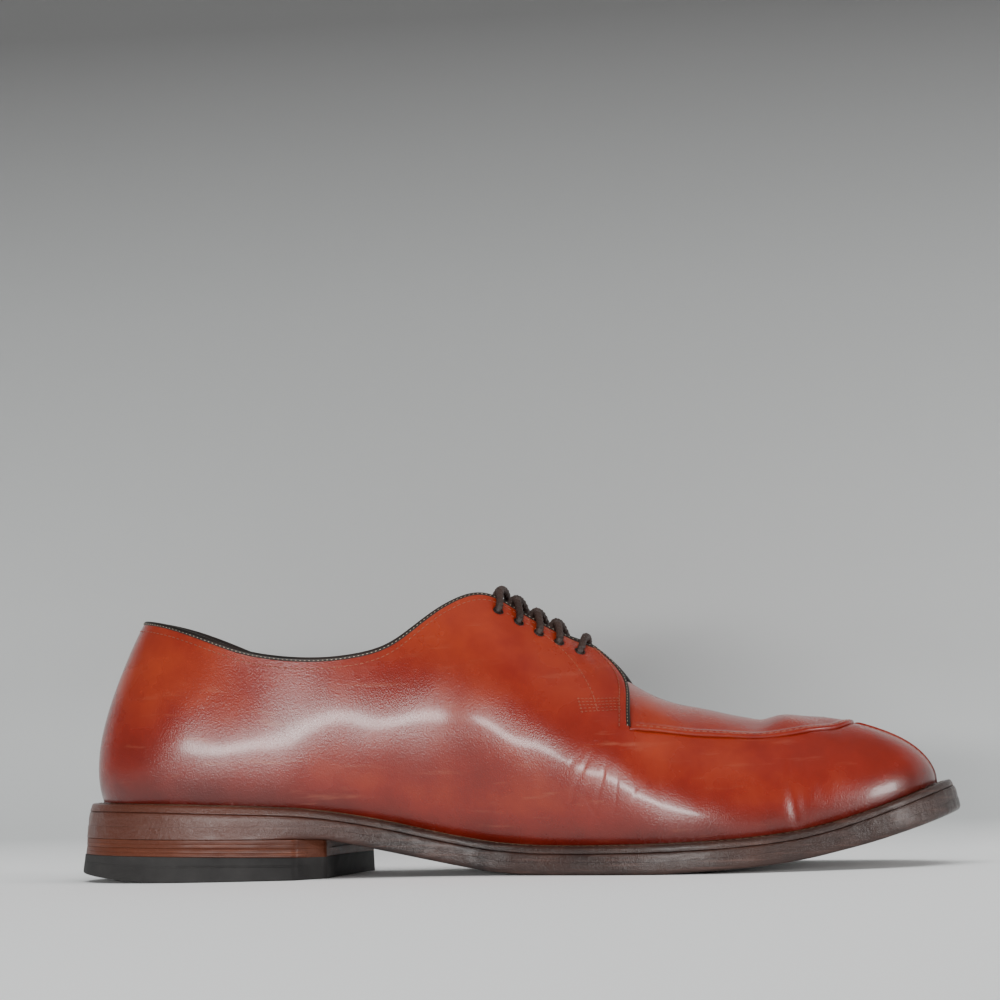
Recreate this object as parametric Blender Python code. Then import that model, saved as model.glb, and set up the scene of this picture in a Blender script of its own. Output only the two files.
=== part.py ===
"""Split toe derby, a left dress shoe in metres.

+X runs from heel to toe, +Y to the outer (lateral) side of the foot, +Z up. The shoe stands on
z = 0 and its box is centred on the origin in X and Y. Tables below are in millimetres. They are
drawn at the DRAWN sizes and stretched to the driving dimensions when they are read.
"""
import bpy
import bmesh
import numpy as np
from mathutils import Vector

# driving dimensions, in millimetres: the sole's length, its width at the ball, the height of the
# facings' tops and the height of the heel under the heel seat
SOLE_LENGTH = 308.0
BALL_WIDTH = 103.6
INSTEP_HEIGHT = 95.8
HEEL_HEIGHT = 15.6
DRAWN = {"length": 308.0, "ball": 103.6, "instep": 95.8, "heel": 15.6}
STRETCH_X = SOLE_LENGTH / DRAWN["length"]
STRETCH_Z = INSTEP_HEIGHT / DRAWN["instep"]
STRETCH_HEEL = HEEL_HEIGHT / DRAWN["heel"]
MM = 0.001

# leather, rubber and clearances
WALL = 2.2
CLEARANCE = 0.3
WELT_THICKNESS = 2.5
OUTSOLE_THICKNESS = 4.2
INSOLE_THICKNESS = 3.0
TONGUE_THICKNESS = 1.8
BINDING_RADIUS = 1.1
LACE_RADIUS = 1.45

# the outline of the sole seen from above: distance along the length, then the inner
# (medial) and outer (lateral) edges as parts of the ball width
OUTLINE = (
    (0.000, 0.000, 0.000),
    (0.013, -0.140, 0.140),
    (0.045, -0.241, 0.241),
    (0.104, -0.309, 0.309),
    (0.188, -0.333, 0.333),
    (0.279, -0.309, 0.328),
    (0.364, -0.265, 0.323),
    (0.435, -0.251, 0.333),
    (0.506, -0.294, 0.381),
    (0.578, -0.381, 0.449),
    (0.643, -0.454, 0.497),
    (0.701, -0.488, 0.510),
    (0.766, -0.481, 0.478),
    (0.831, -0.434, 0.409),
    (0.893, -0.366, 0.336),
    (0.943, -0.286, 0.252),
    (0.982, -0.170, 0.136),
    (1.000, -0.018, -0.018),
)

# heights of the sole's underside and of the welt's top, as (along, height) rows
SOLE_BOTTOM = (
    (0, 15.6), (46, 14.6), (90, 13.6), (100, 11.8), (112, 9.1), (125, 6.1), (139, 3.1), (152, 0.9),
    (166, 0.0), (206, 0.0), (218, 0.6), (231, 1.3), (243, 2.3), (256, 4.1), (268, 6.6), (277, 8.7),
    (288, 11.8), (297, 14.6), (308, 18.4),
)
WELT_TOP = (
    (0, 27.3), (20, 27.0), (57, 25.6), (78, 24.5), (90, 23.2), (103, 21.0), (117, 18.0), (125, 16.0),
    (138, 13.1), (152, 10.8), (166, 9.8), (180, 9.6), (200, 9.8), (218, 10.3), (231, 10.9),
    (250, 12.7), (263, 15.2), (275, 18.6), (288, 22.9), (297, 26.2), (308, 29.8),
)

# ribs of the upper, from the welt to the topline or the crest of the vamp. "at" runs along the
# feather edge from the heel (0) to the toe (1); leans are degrees out from the vertical; drop is
# how far the outer side's topline lies below the inner side's; seam is the distance up the rib
# to the apron seam
RIB_COLUMNS = ("at", "top_x", "top_half", "top_z", "middle_y", "drop", "welt_width", "lean_medial",
               "lean_lateral", "base_reach", "top_lean", "top_reach", "seam")
RIBS = (
    (0.000, 24.0, 0.0, 90.4, 0.0, 0.0, 10.0, 20, 20, 18, 30, 20, 40),
    (0.050, 26.5, 8.5, 90.3, 0.0, 0.0, 7.4, 19, 19, 18, 28, 20, 40),
    (0.100, 32.5, 15.5, 89.3, 0.0, 0.3, 5.6, 17, 17, 19, 24, 20, 40),
    (0.150, 41.0, 20.8, 87.0, 0.0, 0.8, 4.9, 15, 15, 20, 18, 20, 40),
    (0.200, 51.0, 24.5, 83.4, 0.0, 1.4, 4.6, 14, 14, 20, 12, 19, 40),
    (0.250, 62.5, 26.8, 79.2, 0.0, 2.2, 4.4, 14, 13, 21, 9, 19, 40),
    (0.300, 75.0, 28.1, 76.4, 0.0, 3.0, 4.3, 16, 12, 22, 7, 18, 40),
    (0.350, 89.0, 28.3, 75.2, 0.0, 3.4, 4.2, 20, 11, 23, 7, 18, 40),
    (0.400, 103.5, 27.0, 76.2, 0.0, 3.2, 4.1, 24, 11, 24, 11, 18, 41),
    (0.440, 115.5, 24.4, 79.8, 0.0, 2.6, 4.1, 26, 12, 26, 18, 20, 42),
    (0.480, 127.0, 20.0, 88.2, -0.2, 1.6, 4.2, 27, 14, 28, 30, 24, 43),
    (0.515, 138.0, 14.6, 95.0, -0.5, 0.6, 4.4, 26, 16, 30, 42, 28, 43),
    (0.540, 147.5, 9.4, 95.8, -0.8, 0.0, 4.5, 24, 18, 30, 52, 30, 43),
    (0.570, 160.5, 6.2, 87.0, -1.1, 0.0, 4.7, 22, 20, 29, 60, 32, 43),
    (0.600, 174.0, 5.4, 78.4, -1.5, 0.0, 4.9, 20, 20, 27, 67, 32, 42),
    (0.633, 188.8, 4.8, 69.0, -1.9, 0.0, 5.1, 18, 19, 25, 76, 31, 41),
    (0.660, 199.0, 0.0, 62.0, -2.2, 0.0, 5.2, 17, 18, 23, 84, 30, 40),
    (0.700, 211.5, 0.0, 56.4, -2.6, 0.0, 5.3, 15, 16, 21, 90, 29, 38),
    (0.750, 225.5, 0.0, 53.2, -2.9, 0.0, 5.4, 13, 14, 19, 90, 28, 36),
    (0.800, 237.5, 0.0, 50.9, -3.0, 0.0, 5.6, 11, 12, 18, 90, 27, 34.5),
    (0.850, 247.0, 0.0, 51.4, -3.0, 0.0, 6.0, 9, 10, 16, 90, 25, 34),
    (0.900, 254.0, 0.0, 51.0, -2.9, 0.0, 6.6, 6, 7, 14, 90, 23, 34.5),
    (0.950, 259.0, 0.0, 50.6, -2.8, 0.0, 7.7, 4, 4, 12, 90, 22, 36),
    (1.000, 262.0, 0.0, 50.3, -2.6, 0.0, 8.8, 4, 4, 11, 90, 21, 37),
)

# the facings: their front edge, how far they stand off the vamp, and their eyelets
FACING_FRONT = 0.633
FACING_BACK = 0.540
STEP_START = 0.50
FACING_STEP = 2.3
FOOT_STEP = 0.9
FOOT_STEP_RUN = 0.02
FACING_LIFT = 2.0
FRONT_STRIP = 0.0035
EYELET_PLACES = (0.5490, 0.5642, 0.5794, 0.5946, 0.6098)
EYELET_INSET = 6.8
EYELET_RADIUS = 1.7

# the laces: how far their centre lines stand above the facings beyond their own radius at the
# eyelet, half way and at the free edge, and how far a crossing moves along, in eyelet steps
LACE_STANDS = (0.35, 0.7, 0.9)
LACE_TUCK_GAP = 0.7
EDGE_SHARE = 0.25
TUCK_SHARE = 0.45
TOP_CROSSING_SHARE = 0.4
CROSSING_ARCH = 0.8
CROSSING_LAP = 0.9
BAR_ARCH = 0.6

# raised seams
APRON_RIDGE = 1.3
TOE_RIDGE = 1.1
RIDGE_HALF_WIDTH = 1.6

# rows and columns of the upper's mesh
LOW_ROWS = 8
HIGH_ROWS = 8
SEAM_ROW = LOW_ROWS
RIB_SAMPLES = 48

# where the ribs turn from leaning straight out along the sides to square round heel and toe
HEEL_TURN = (0.10, 0.30)
TOE_TURN = (0.68, 0.88)
CREST_BLEND_END = 0.70

# the tongue: its back end, the gap under the facings, and its rows' distances from their edges
TONGUE_BACK = 0.536
TONGUE_GAP = 0.45
TONGUE_ROWS = (26.0, 20.0, 14.0, 8.0, 3.0, 0.0)
TONGUE_CLIMB = 34.0

# the binding stands off the topline, clear of its facets
BINDING_GAP = 0.45

# edges of the sole's layers, from their undersides up: inset from the outline, height above the
# layer's low face or (as a negative number) below its high face, and the share of the taper
OUTSOLE_EDGE = ((1.6, 0.0, 0.0), (0.2, 1.0, 0.1), (0.2, -0.4, 0.3), (0.5, -0.0, 0.35))
MIDSOLE_EDGE = ((0.4, 0.0, 0.4), (0.0, 0.5, 0.45), (0.1, -0.5, 0.65), (0.5, -0.0, 0.7))
WELT_EDGE = ((0.5, 0.0, 0.75), (0.3, -0.6, 0.9), (0.8, -0.0, 1.0))

# the taper of the sole's edge from the floor up to the welt, at the heel and at the toe
HEEL_TAPER_LENGTH = 46.0
HEEL_TAPER = (2.4, 1.6)
TOE_TAPER_LENGTH = 26.0
TOE_TAPER = 3.2

# the welt's inner edge and the insole's steps, past the inner face of the upper
WELT_REACH = 1.0
WELT_REACH_SIDES = 1.5
INSOLE_PLUG_GAP = 0.5
INSOLE_WALL_GAP = 0.5

# the heel: its breast on each side, the notch at its inner corner, the heights of its flat joints
# at the back and at the breast, and the wear of the rubber
BREAST_MEDIAL = 82.5
BREAST_NOTCH = (91.5, -22.5)
BREAST_MIDDLE = (93.0, 0.0)
BREAST_LATERAL = 98.5
RUBBER_TOP = (9.8, 7.4)
LIFT_JOINT = (12.7, 10.4)
RUBBER_WEAR = 3.6
RUBBER_WEAR_LENGTH = 38.0
RUBBER_WEAR_POWER = 1.6
SEAT_RELIEF = 0.3
LIFT_FLARES = ((0.2, 0.5), (-0.3, 0.1))
RUBBER_FLARES = (-0.8, -1.6, -0.6)
RUBBER_BEVEL = 1.2
RUBBER_LOWEST_EDGE = 2.2

# colours from worn, polished leather: base colour, roughness
FINISHES = {
    "upper_leather": ((0.33, 0.075, 0.022, 1.0), 0.32),
    "sole_leather": ((0.07, 0.032, 0.022, 1.0), 0.45),
    "heel_leather": ((0.11, 0.028, 0.012, 1.0), 0.45),
    "heel_rubber": ((0.045, 0.043, 0.042, 1.0), 0.7),
    "dark_binding": ((0.03, 0.018, 0.014, 1.0), 0.5),
    "lining_leather": ((0.42, 0.26, 0.14, 1.0), 0.6),
    "waxed_lace": ((0.045, 0.025, 0.022, 1.0), 0.6),
}


def cubic_spline(places, values, closed=False):
    """A C2 spline through rows of values; closed means the last row repeats the first."""
    places = np.asarray(places, float)
    values = np.asarray(values, float).reshape(len(places), -1)
    count = len(places)
    step = np.diff(places)
    matrix = np.zeros((count, count))
    right = np.zeros(values.shape)
    slope = np.diff(values, axis=0) / step[:, None]
    for row in range(1, count - 1):
        matrix[row, row - 1] = step[row - 1]
        matrix[row, row] = 2 * (step[row - 1] + step[row])
        matrix[row, row + 1] = step[row]
        right[row] = 6 * (slope[row] - slope[row - 1])
    if closed:
        matrix[0, 0] = 1
        matrix[0, -1] = -1
        matrix[-1, 0] = 2 * step[0]
        matrix[-1, 1] = step[0]
        matrix[-1, -2] = step[-1]
        matrix[-1, -1] = 2 * step[-1]
        right[-1] = 6 * (slope[0] - slope[-1])
    else:
        matrix[0, 0] = 1
        matrix[-1, -1] = 1
    bend = np.linalg.solve(matrix, right)

    def curve(place):
        place = np.atleast_1d(np.asarray(place, float))
        span = np.clip(np.searchsorted(places, place) - 1, 0, count - 2)
        width = step[span][:, None]
        before = (places[span + 1] - place)[:, None] / width
        after = (place - places[span])[:, None] / width
        straight = before * values[span] + after * values[span + 1]
        curved = (before**3 - before) * bend[span] + (after**3 - after) * bend[span + 1]
        return straight + curved * width**2 / 6

    return curve


def flat_spline(rows):
    """A spline through (x, z) rows that never overshoots, so that flat stretches stay flat."""
    x, z = np.array(rows, float).T
    step = np.diff(x)
    slope = np.diff(z) / step
    tangent = np.zeros(len(x))
    same_way = slope[:-1] * slope[1:] > 0
    inner = 2 * slope[:-1] * slope[1:] / np.where(same_way, slope[:-1] + slope[1:], 1)
    tangent[1:-1] = np.where(same_way, inner, 0)
    tangent[0] = slope[0]
    tangent[-1] = slope[-1]

    def curve(place):
        place = np.clip(np.asarray(place, float), x[0], x[-1])
        span = np.clip(np.searchsorted(x, place) - 1, 0, len(x) - 2)
        width = step[span]
        t = (place - x[span]) / width
        ends = (2 * t**3 - 3 * t**2 + 1) * z[span] + (3 * t**2 - 2 * t**3) * z[span + 1]
        start = (t**3 - 2 * t**2 + t) * width * tangent[span]
        stop = (t**3 - t**2) * width * tangent[span + 1]
        return ends + start + stop

    return curve


def ease(value, low, high):
    """0 below low, 1 above high, with a smooth rise between."""
    t = np.clip((np.asarray(value, float) - low) / (high - low), 0, 1)
    return t * t * (3 - 2 * t)


def sole_outline():
    """Both sides of the outline as functions of the part of their length from heel to toe.

    Each side gives points and outward normals for the places 0 (heel) to 1 (toe).
    """
    table = np.array(OUTLINE)
    medial = np.stack([table[:, 0] * SOLE_LENGTH, table[:, 1] * BALL_WIDTH], 1)
    lateral = np.stack([table[:, 0] * SOLE_LENGTH, table[:, 2] * BALL_WIDTH], 1)
    loop = np.concatenate([medial, lateral[-2:0:-1], medial[:1]])
    chord = np.concatenate([[0], np.cumsum(np.linalg.norm(np.diff(loop, axis=0), axis=1))])
    curve = cubic_spline(chord, loop, closed=True)
    toe = chord[len(medial) - 1]

    def side(end):
        samples = np.linspace(end, toe, 1500)
        points = curve(samples)
        run = np.concatenate([[0], np.cumsum(np.linalg.norm(np.diff(points, axis=0), axis=1))])
        run /= run[-1]

        def at(place):
            chord_place = np.interp(place, run, samples)
            point = curve(chord_place)
            nudge = 0.05
            tangent = curve((chord_place + nudge) % chord[-1]) - curve((chord_place - nudge) % chord[-1])
            tangent /= np.linalg.norm(tangent, axis=1)[:, None]
            normal = np.stack([-tangent[:, 1], tangent[:, 0]], 1)
            return point, -normal

        return at

    return side(0.0), side(chord[-1])


def stretched_ribs():
    """The table of ribs at the driving dimensions."""
    table = np.array(RIBS)
    column = {name: index for index, name in enumerate(RIB_COLUMNS)}
    table[:, column["top_x"]] *= STRETCH_X
    table[:, column["top_half"]] *= BALL_WIDTH / DRAWN["ball"]
    table[:, column["middle_y"]] *= BALL_WIDTH / DRAWN["ball"]
    table[:, column["top_z"]] *= STRETCH_Z
    return table


MEDIAL, LATERAL = sole_outline()
SIDES = {"medial": MEDIAL, "lateral": LATERAL}
bottom_height = flat_spline([(x * STRETCH_X, z * STRETCH_HEEL) for x, z in SOLE_BOTTOM])
HEEL_RAISE = flat_spline([(x * STRETCH_X, z * (STRETCH_HEEL - 1)) for x, z in SOLE_BOTTOM])
WELT_ROWS = [(x * STRETCH_X, z + float(HEEL_RAISE(x * STRETCH_X))) for x, z in WELT_TOP]
welt_height = flat_spline(WELT_ROWS)
RIB_TABLE = stretched_ribs()
rib_values = cubic_spline(RIB_TABLE[:, 0], RIB_TABLE[:, 1:])


def rib(side, place):
    """One rib of the upper as points from the welt to its top, and its row of the table.

    A cubic curve leaves the feather edge with the base lean and reaches the topline or the
    crest with the top lean. Along the sides the rib leans straight out, and round the heel and
    the toe it leans square to the outline. On the crest it follows the crest's own slope.
    """
    row = dict(zip(RIB_COLUMNS[1:], rib_values(place)[0]))
    slope_row = rib_values(place + 0.002)[0] - rib_values(place - 0.002)[0]
    slope = slope_row[2] / slope_row[0] if abs(slope_row[0]) > 1e-6 else 0.0
    point, normal = SIDES[side](np.array([place]))
    point, normal = point[0], normal[0]
    hand = -1.0 if side == "medial" else 1.0
    foot = point - normal * row["welt_width"]
    base = np.array([foot[0], foot[1], welt_height(foot[0]) + CLEARANCE])
    half = max(row["top_half"], 0.0) if place < FACING_FRONT + 0.0005 else 0.0
    drop = row["drop"] if side == "lateral" else 0.0
    top = np.array([row["top_x"], row["middle_y"] + hand * half, row["top_z"] - drop])
    lean = np.radians(row["lean_" + side])
    top_lean = np.radians(min(row["top_lean"], 90.0))
    ends = max(1 - ease(place, *HEEL_TURN), ease(place, *TOE_TURN))
    out = np.array([normal[0] * ends, normal[1], 0.0])
    out /= np.linalg.norm(out)
    up = np.array([0.0, 0.0, 1.0])
    on_crest = ease(place, FACING_FRONT, CREST_BLEND_END)
    leave = out * np.sin(lean) + up * np.cos(lean)
    arrive = out * np.sin(top_lean) - up * np.cos(top_lean)
    arrive = arrive + up * normal[0] * slope * on_crest
    handles = [base, base + leave * row["base_reach"], top + arrive * row["top_reach"], top]
    t = np.linspace(0, 1, RIB_SAMPLES)[:, None]
    weights = [(1 - t) ** 3, 3 * t * (1 - t) ** 2, 3 * t**2 * (1 - t), t**3]
    return sum(weight * handle for weight, handle in zip(weights, handles)), row


def along_rib(side, place, rows):
    """Points of a rib at lengths from the welt, worked out by rows(whole length, seam length)."""
    points, row = rib(side, place)
    run = np.concatenate([[0], np.cumsum(np.linalg.norm(np.diff(points, axis=0), axis=1))])
    targets = rows(run[-1], row["seam"])
    return np.stack([np.interp(targets, run, points[:, axis]) for axis in range(3)], 1)


def wall_rows(whole, seam):
    """Where the rows of the upper lie on a rib: even below the apron seam and above it."""
    low = np.linspace(0, seam - RIDGE_HALF_WIDTH, LOW_ROWS)
    high = np.linspace(seam + RIDGE_HALF_WIDTH, whole, HIGH_ROWS)
    return np.concatenate([low, [seam], high])


def skin(side, places, rows):
    """A side of the upper's base surface, shaped (places, rows, 3), and its outward normals."""
    nudge = 0.0015
    points = np.array([along_rib(side, place, rows) for place in places])
    before = np.array([along_rib(side, max(place - nudge, 0.0), rows) for place in places])
    after = np.array([along_rib(side, min(place + nudge, 1.0), rows) for place in places])
    up_rib = np.gradient(points, axis=1)
    normal = np.cross(after - before, up_rib)
    if side == "lateral":
        normal = -normal
    return points, normal / np.linalg.norm(normal, axis=2)[:, :, None]


def new_object(name, vertices, faces, finish, collection):
    """A closed mesh in metres, its doubles merged and its faces turned outwards."""
    mesh = bpy.data.meshes.new(name)
    mesh.from_pydata((np.asarray(vertices) * MM).tolist(), [], faces)
    work = bmesh.new()
    work.from_mesh(mesh)
    bmesh.ops.remove_doubles(work, verts=work.verts, dist=0.00001)
    bmesh.ops.recalc_face_normals(work, faces=work.faces)
    if work.calc_volume(signed=True) < 0:
        bmesh.ops.reverse_faces(work, faces=work.faces)
    bmesh.ops.triangulate(work, faces=[face for face in work.faces if len(face.verts) > 3])
    work.to_mesh(mesh)
    work.free()
    mesh.shade_smooth()
    mesh.set_sharp_from_angle(angle=np.radians(40))
    item = bpy.data.objects.new(name, mesh)
    item.data.materials.append(material(finish))
    collection.objects.link(item)
    return item


def material(finish):
    """The Principled material of a named finish, made once."""
    if finish in bpy.data.materials:
        return bpy.data.materials[finish]
    colour, roughness = FINISHES[finish]
    made = bpy.data.materials.new(finish)
    made.use_nodes = True
    shader = made.node_tree.nodes["Principled BSDF"]
    shader.inputs["Base Color"].default_value = colour
    shader.inputs["Roughness"].default_value = roughness
    shader.inputs["Metallic"].default_value = 0.0
    return made


def grid_faces(columns, rows, start=0):
    """Quads of a grid whose vertices run row by row within each column."""
    faces = []
    for column in range(columns - 1):
        for row in range(rows - 1):
            here = start + column * rows + row
            faces.append((here, here + rows, here + rows + 1, here + 1))
    return faces


def build_upper(collection, cutters):
    """The hollow wall: an outer and an inner skin of the same ribs, joined along their edges.

    The facings stand off the vamp, the apron seam is a ridge along one row, and the split toe
    seam is a ridge up the middle rib of the toe.
    """
    places = upper_places()
    front = int(np.argmin(np.abs(places - FACING_FRONT)))
    sides = [skin(side, places, wall_rows) for side in ("medial", "lateral")]
    skins = []
    for (points, _), normals in zip(sides, shared_normals(sides, front)):
        rise, lift = wall_steps(places, points.shape[1], front)
        outer = points + normals * (rise + lift)[:, :, None]
        inner = points + normals * (lift - WALL)[:, :, None]
        skins.append((outer, inner))
    vertices, faces = [], []
    columns, rows = len(places), skins[0][0].shape[1]
    for side_index, (outer, inner) in enumerate(skins):
        for skin_index, surface in enumerate((outer, inner)):
            start = len(vertices)
            vertices.extend(surface.reshape(-1, 3))
            flip = (side_index + skin_index) % 2 == 1
            for face in grid_faces(columns, rows, start=start):
                faces.append(face[::-1] if flip else face)
        size = columns * rows
        outer_start = len(vertices) - 2 * size
        inner_start = len(vertices) - size
        for column in range(columns - 1):
            here, ahead = column * rows, (column + 1) * rows
            edges = [(here, ahead)]
            if column <= front:
                edges.append((ahead + rows - 1, here + rows - 1))
            for near, far in edges:
                faces.append((outer_start + near, inner_start + near, inner_start + far, outer_start + far))
    upper = new_object("upper", vertices, faces, "upper_leather", collection)
    cut = eyelet_cutters(cutters)
    drill = upper.modifiers.new("eyelet holes", "BOOLEAN")
    drill.operation = "DIFFERENCE"
    drill.solver = "EXACT"
    drill.object = cut
    return upper


def upper_places():
    """Columns of the upper from heel to toe, close together at the heel, throat and toe."""
    heel = np.linspace(0.0, 0.10, 5)
    quarter = np.concatenate([np.linspace(0.10, 0.43, 9)[1:], np.linspace(0.43, FACING_BACK, 7)[1:]])
    facing = np.linspace(FACING_BACK, FACING_FRONT, 6)[1:]
    vamp = np.linspace(FACING_FRONT + FRONT_STRIP, 0.90, 9)
    toe = np.linspace(0.90, 1.0, 6)[1:-1]
    split = [1.0 - RIDGE_HALF_WIDTH / SOLE_LENGTH, 1.0]
    return np.concatenate([heel, quarter, facing, vamp, toe, split])


def shared_normals(sides, front):
    """The two sides' normals, made equal where they meet: heel, toe and the crest of the vamp."""
    medial = sides[0][1].copy()
    lateral = sides[1][1].copy()
    for where in ((0, slice(None)), (-1, slice(None)), (slice(front + 1, None), -1)):
        both = medial[where] + lateral[where]
        both /= np.linalg.norm(both, axis=-1)[..., None]
        medial[where] = both
        lateral[where] = both
    return medial, lateral


def wall_steps(places, rows, front):
    """How far the outer skin rises above the base surface, and how far both skins lift off it."""
    rise = np.zeros((len(places), rows))
    lift = np.zeros((len(places), rows))
    climb = ease(np.arange(rows), SEAM_ROW, rows - 1)
    behind = np.arange(len(places)) <= front
    on_facing = ease(places, STEP_START, FACING_FRONT) * behind
    above = np.arange(rows) > SEAM_ROW
    at_front = ease(places, FACING_FRONT - FOOT_STEP_RUN, FACING_FRONT) * behind
    rise += at_front[:, None] * FOOT_STEP * above[None, :]
    rise += on_facing[:, None] * (FACING_STEP - FOOT_STEP) * climb[None, :]
    lift += on_facing[:, None] * FACING_LIFT * climb[None, :]
    apron = np.arange(len(places)) > front
    rise[apron, SEAM_ROW] += APRON_RIDGE
    rise[-1, :SEAM_ROW + 1] += TOE_RIDGE
    rise[-1, SEAM_ROW] -= min(APRON_RIDGE, TOE_RIDGE)
    return rise, lift


def facing_point(side, place, inset, height=0.0):
    """A point on the facing's outer face, inset from its free edge, and the normal there."""
    def rows(whole, seam):
        return np.array([whole - inset - 1.0, whole - inset, whole - inset + 1.0])
    points, normals = skin(side, np.array([place]), rows)
    whole_rows = LOW_ROWS + 1 + HIGH_ROWS
    run = along_rib(side, place, wall_rows)
    row = float(np.argmin(np.linalg.norm(run - points[0, 1], axis=1)))
    rise = ease(row, SEAM_ROW, whole_rows - 1)
    share = float(ease(place, STEP_START, FACING_FRONT))
    foot = float(ease(place, FACING_FRONT - FOOT_STEP_RUN, FACING_FRONT)) * FOOT_STEP
    stand = share * (FACING_STEP - FOOT_STEP + FACING_LIFT) * rise + foot
    normal = normals[0, 1]
    return points[0, 1] + normal * (stand + height), normal


def eyelet_cutters(cutters):
    """One mesh of short rods, square to the facings, that drill the five pairs of eyelets."""
    work = bmesh.new()
    for side in ("medial", "lateral"):
        for place in EYELET_PLACES:
            point, normal = facing_point(side, place, EYELET_INSET)
            turn = Vector((0, 0, 1)).rotation_difference(Vector(normal)).to_matrix().to_4x4()
            turn.translation = Vector(point * MM)
            bmesh.ops.create_cone(work, cap_ends=True, segments=10, radius1=EYELET_RADIUS * MM,
                                  radius2=EYELET_RADIUS * MM, depth=14 * MM, matrix=turn)
    mesh = bpy.data.meshes.new("eyelet_rods")
    work.to_mesh(mesh)
    work.free()
    rods = bpy.data.objects.new("eyelet_rods", mesh)
    rods.hide_render = True
    rods.display_type = "WIRE"
    cutters.objects.link(rods)
    return rods


def edge_insets(x, height_share):
    """How far a layer's edge stands in from the outline at the heel and the toe.

    height_share is 0 at the floor side of the sole and 1 at the top of the welt.
    """
    at_heel = 1 - ease(x, 0, HEEL_TAPER_LENGTH)
    at_toe = ease(x, SOLE_LENGTH - TOE_TAPER_LENGTH, SOLE_LENGTH)
    floor_inset, extra = HEEL_TAPER
    return at_heel * (floor_inset + extra * height_share) + at_toe * TOE_TAPER * height_share


def ring_places(count):
    """Places along a side, closer together at the heel and the toe."""
    t = np.linspace(0, 1, count)
    return t - 0.085 * np.sin(2 * np.pi * t)


def ring(inset, height, height_share, places):
    """A closed loop that follows the outline: heel, inner side, toe, outer side.

    inset is a number or a function of the place; height is a function of x. A height_share of
    None leaves out the edge insets, for loops that follow the upper.
    """
    loops = []
    for side in ("medial", "lateral"):
        point, normal = SIDES[side](places)
        amount = inset(places) if callable(inset) else inset
        step = amount + (0.0 if height_share is None else edge_insets(point[:, 0], height_share))
        moved = point - normal * np.asarray(step)[..., None]
        loops.append(np.column_stack([moved, height(moved[:, 0])]))
    return np.concatenate([loops[0], loops[1][-2:0:-1]])


def slab(name, rings, finish, collection):
    """A solid from closed loops stacked from its underside to its top, with both ends closed.

    The ends are strips from each point to its partner on the other side.
    """
    count = len(rings[0])
    vertices = np.concatenate(rings)
    faces = []
    for level in range(len(rings) - 1):
        low, high = level * count, (level + 1) * count
        for index in range(count):
            ahead = (index + 1) % count
            faces.append((low + index, low + ahead, high + ahead, high + index))
    for start in (0, (len(rings) - 1) * count):
        faces.extend(end_strips(count, start))
    return new_object(name, vertices, faces, finish, collection)


def end_strips(count, start):
    """Faces across a loop, joining each point to its partner on the other side."""
    half = count // 2
    faces = [(start, start + 1, start + count - 1)]
    for index in range(1, half - 1):
        faces.append((start + index, start + index + 1, start + count - index - 1, start + count - index))
    faces.append((start + half - 1, start + half, start + half + 1))
    return faces


def edge_rings(profile, low, high, places):
    """The loops of a layer's edge, from the rows of its profile and its low and high faces."""
    loops = []
    for inset, offset, share in profile:
        from_top = np.signbit(offset)
        face = high if from_top else low
        loops.append(ring(inset, lambda x, face=face, offset=offset: face(x) + offset, share, places))
    return loops


def build_sole(collection):
    """Outsole, midsole and the welt that runs all the way round under the upper."""
    places = ring_places(38)

    def outsole_top(x):
        return bottom_height(x) + OUTSOLE_THICKNESS

    def midsole_low(x):
        return outsole_top(x) + CLEARANCE

    def welt_low(x):
        return welt_height(x) - WELT_THICKNESS

    def midsole_top(x):
        return welt_low(x) - CLEARANCE

    outsole = edge_rings(OUTSOLE_EDGE, bottom_height, outsole_top, places)
    slab("outsole", outsole, "sole_leather", collection)
    midsole = edge_rings(MIDSOLE_EDGE, midsole_low, midsole_top, places)
    slab("midsole", midsole, "sole_leather", collection)
    loops = edge_rings(WELT_EDGE, welt_low, welt_height, places)
    loops.append(ring(welt_inner_inset, welt_height, None, places))
    loops.append(ring(welt_inner_inset, welt_low, None, places))
    count = len(loops[0])
    faces = []
    for level in range(len(loops)):
        low, high = level * count, ((level + 1) % len(loops)) * count
        for index in range(count):
            ahead = (index + 1) % count
            faces.append((low + index, low + ahead, high + ahead, high + index))
    new_object("welt", np.concatenate(loops), faces, "sole_leather", collection)


def feather_inset(places):
    """The distance from the outline in to the outer foot of the upper."""
    return np.array([rib_values(place)[0][RIB_COLUMNS.index("welt_width") - 1] for place in places])


def welt_inner_inset(places):
    """The welt's inner edge lies a little inside the wall of the upper, further along the sides."""
    along_sides = ease(places, 0.0, 0.1) * (1 - ease(places, 0.86, 0.95))
    return feather_inset(places) + WALL + WELT_REACH + WELT_REACH_SIDES * along_sides


def build_insole(collection):
    """A leather insole: its lower step fills the welt's ring, its upper one reaches the wall."""
    places = ring_places(33)

    def plug(p):
        return welt_inner_inset(p) + INSOLE_PLUG_GAP

    def wide(p):
        return feather_inset(p) + WALL + INSOLE_WALL_GAP

    slab("insole", [
        ring(plug, lambda x: welt_height(x) - WELT_THICKNESS, None, places),
        ring(plug, lambda x: welt_height(x) + CLEARANCE, None, places),
        ring(wide, lambda x: welt_height(x) + CLEARANCE, None, places),
        ring(wide, lambda x: welt_height(x) + INSOLE_THICKNESS, None, places),
    ], "lining_leather", collection)


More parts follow.
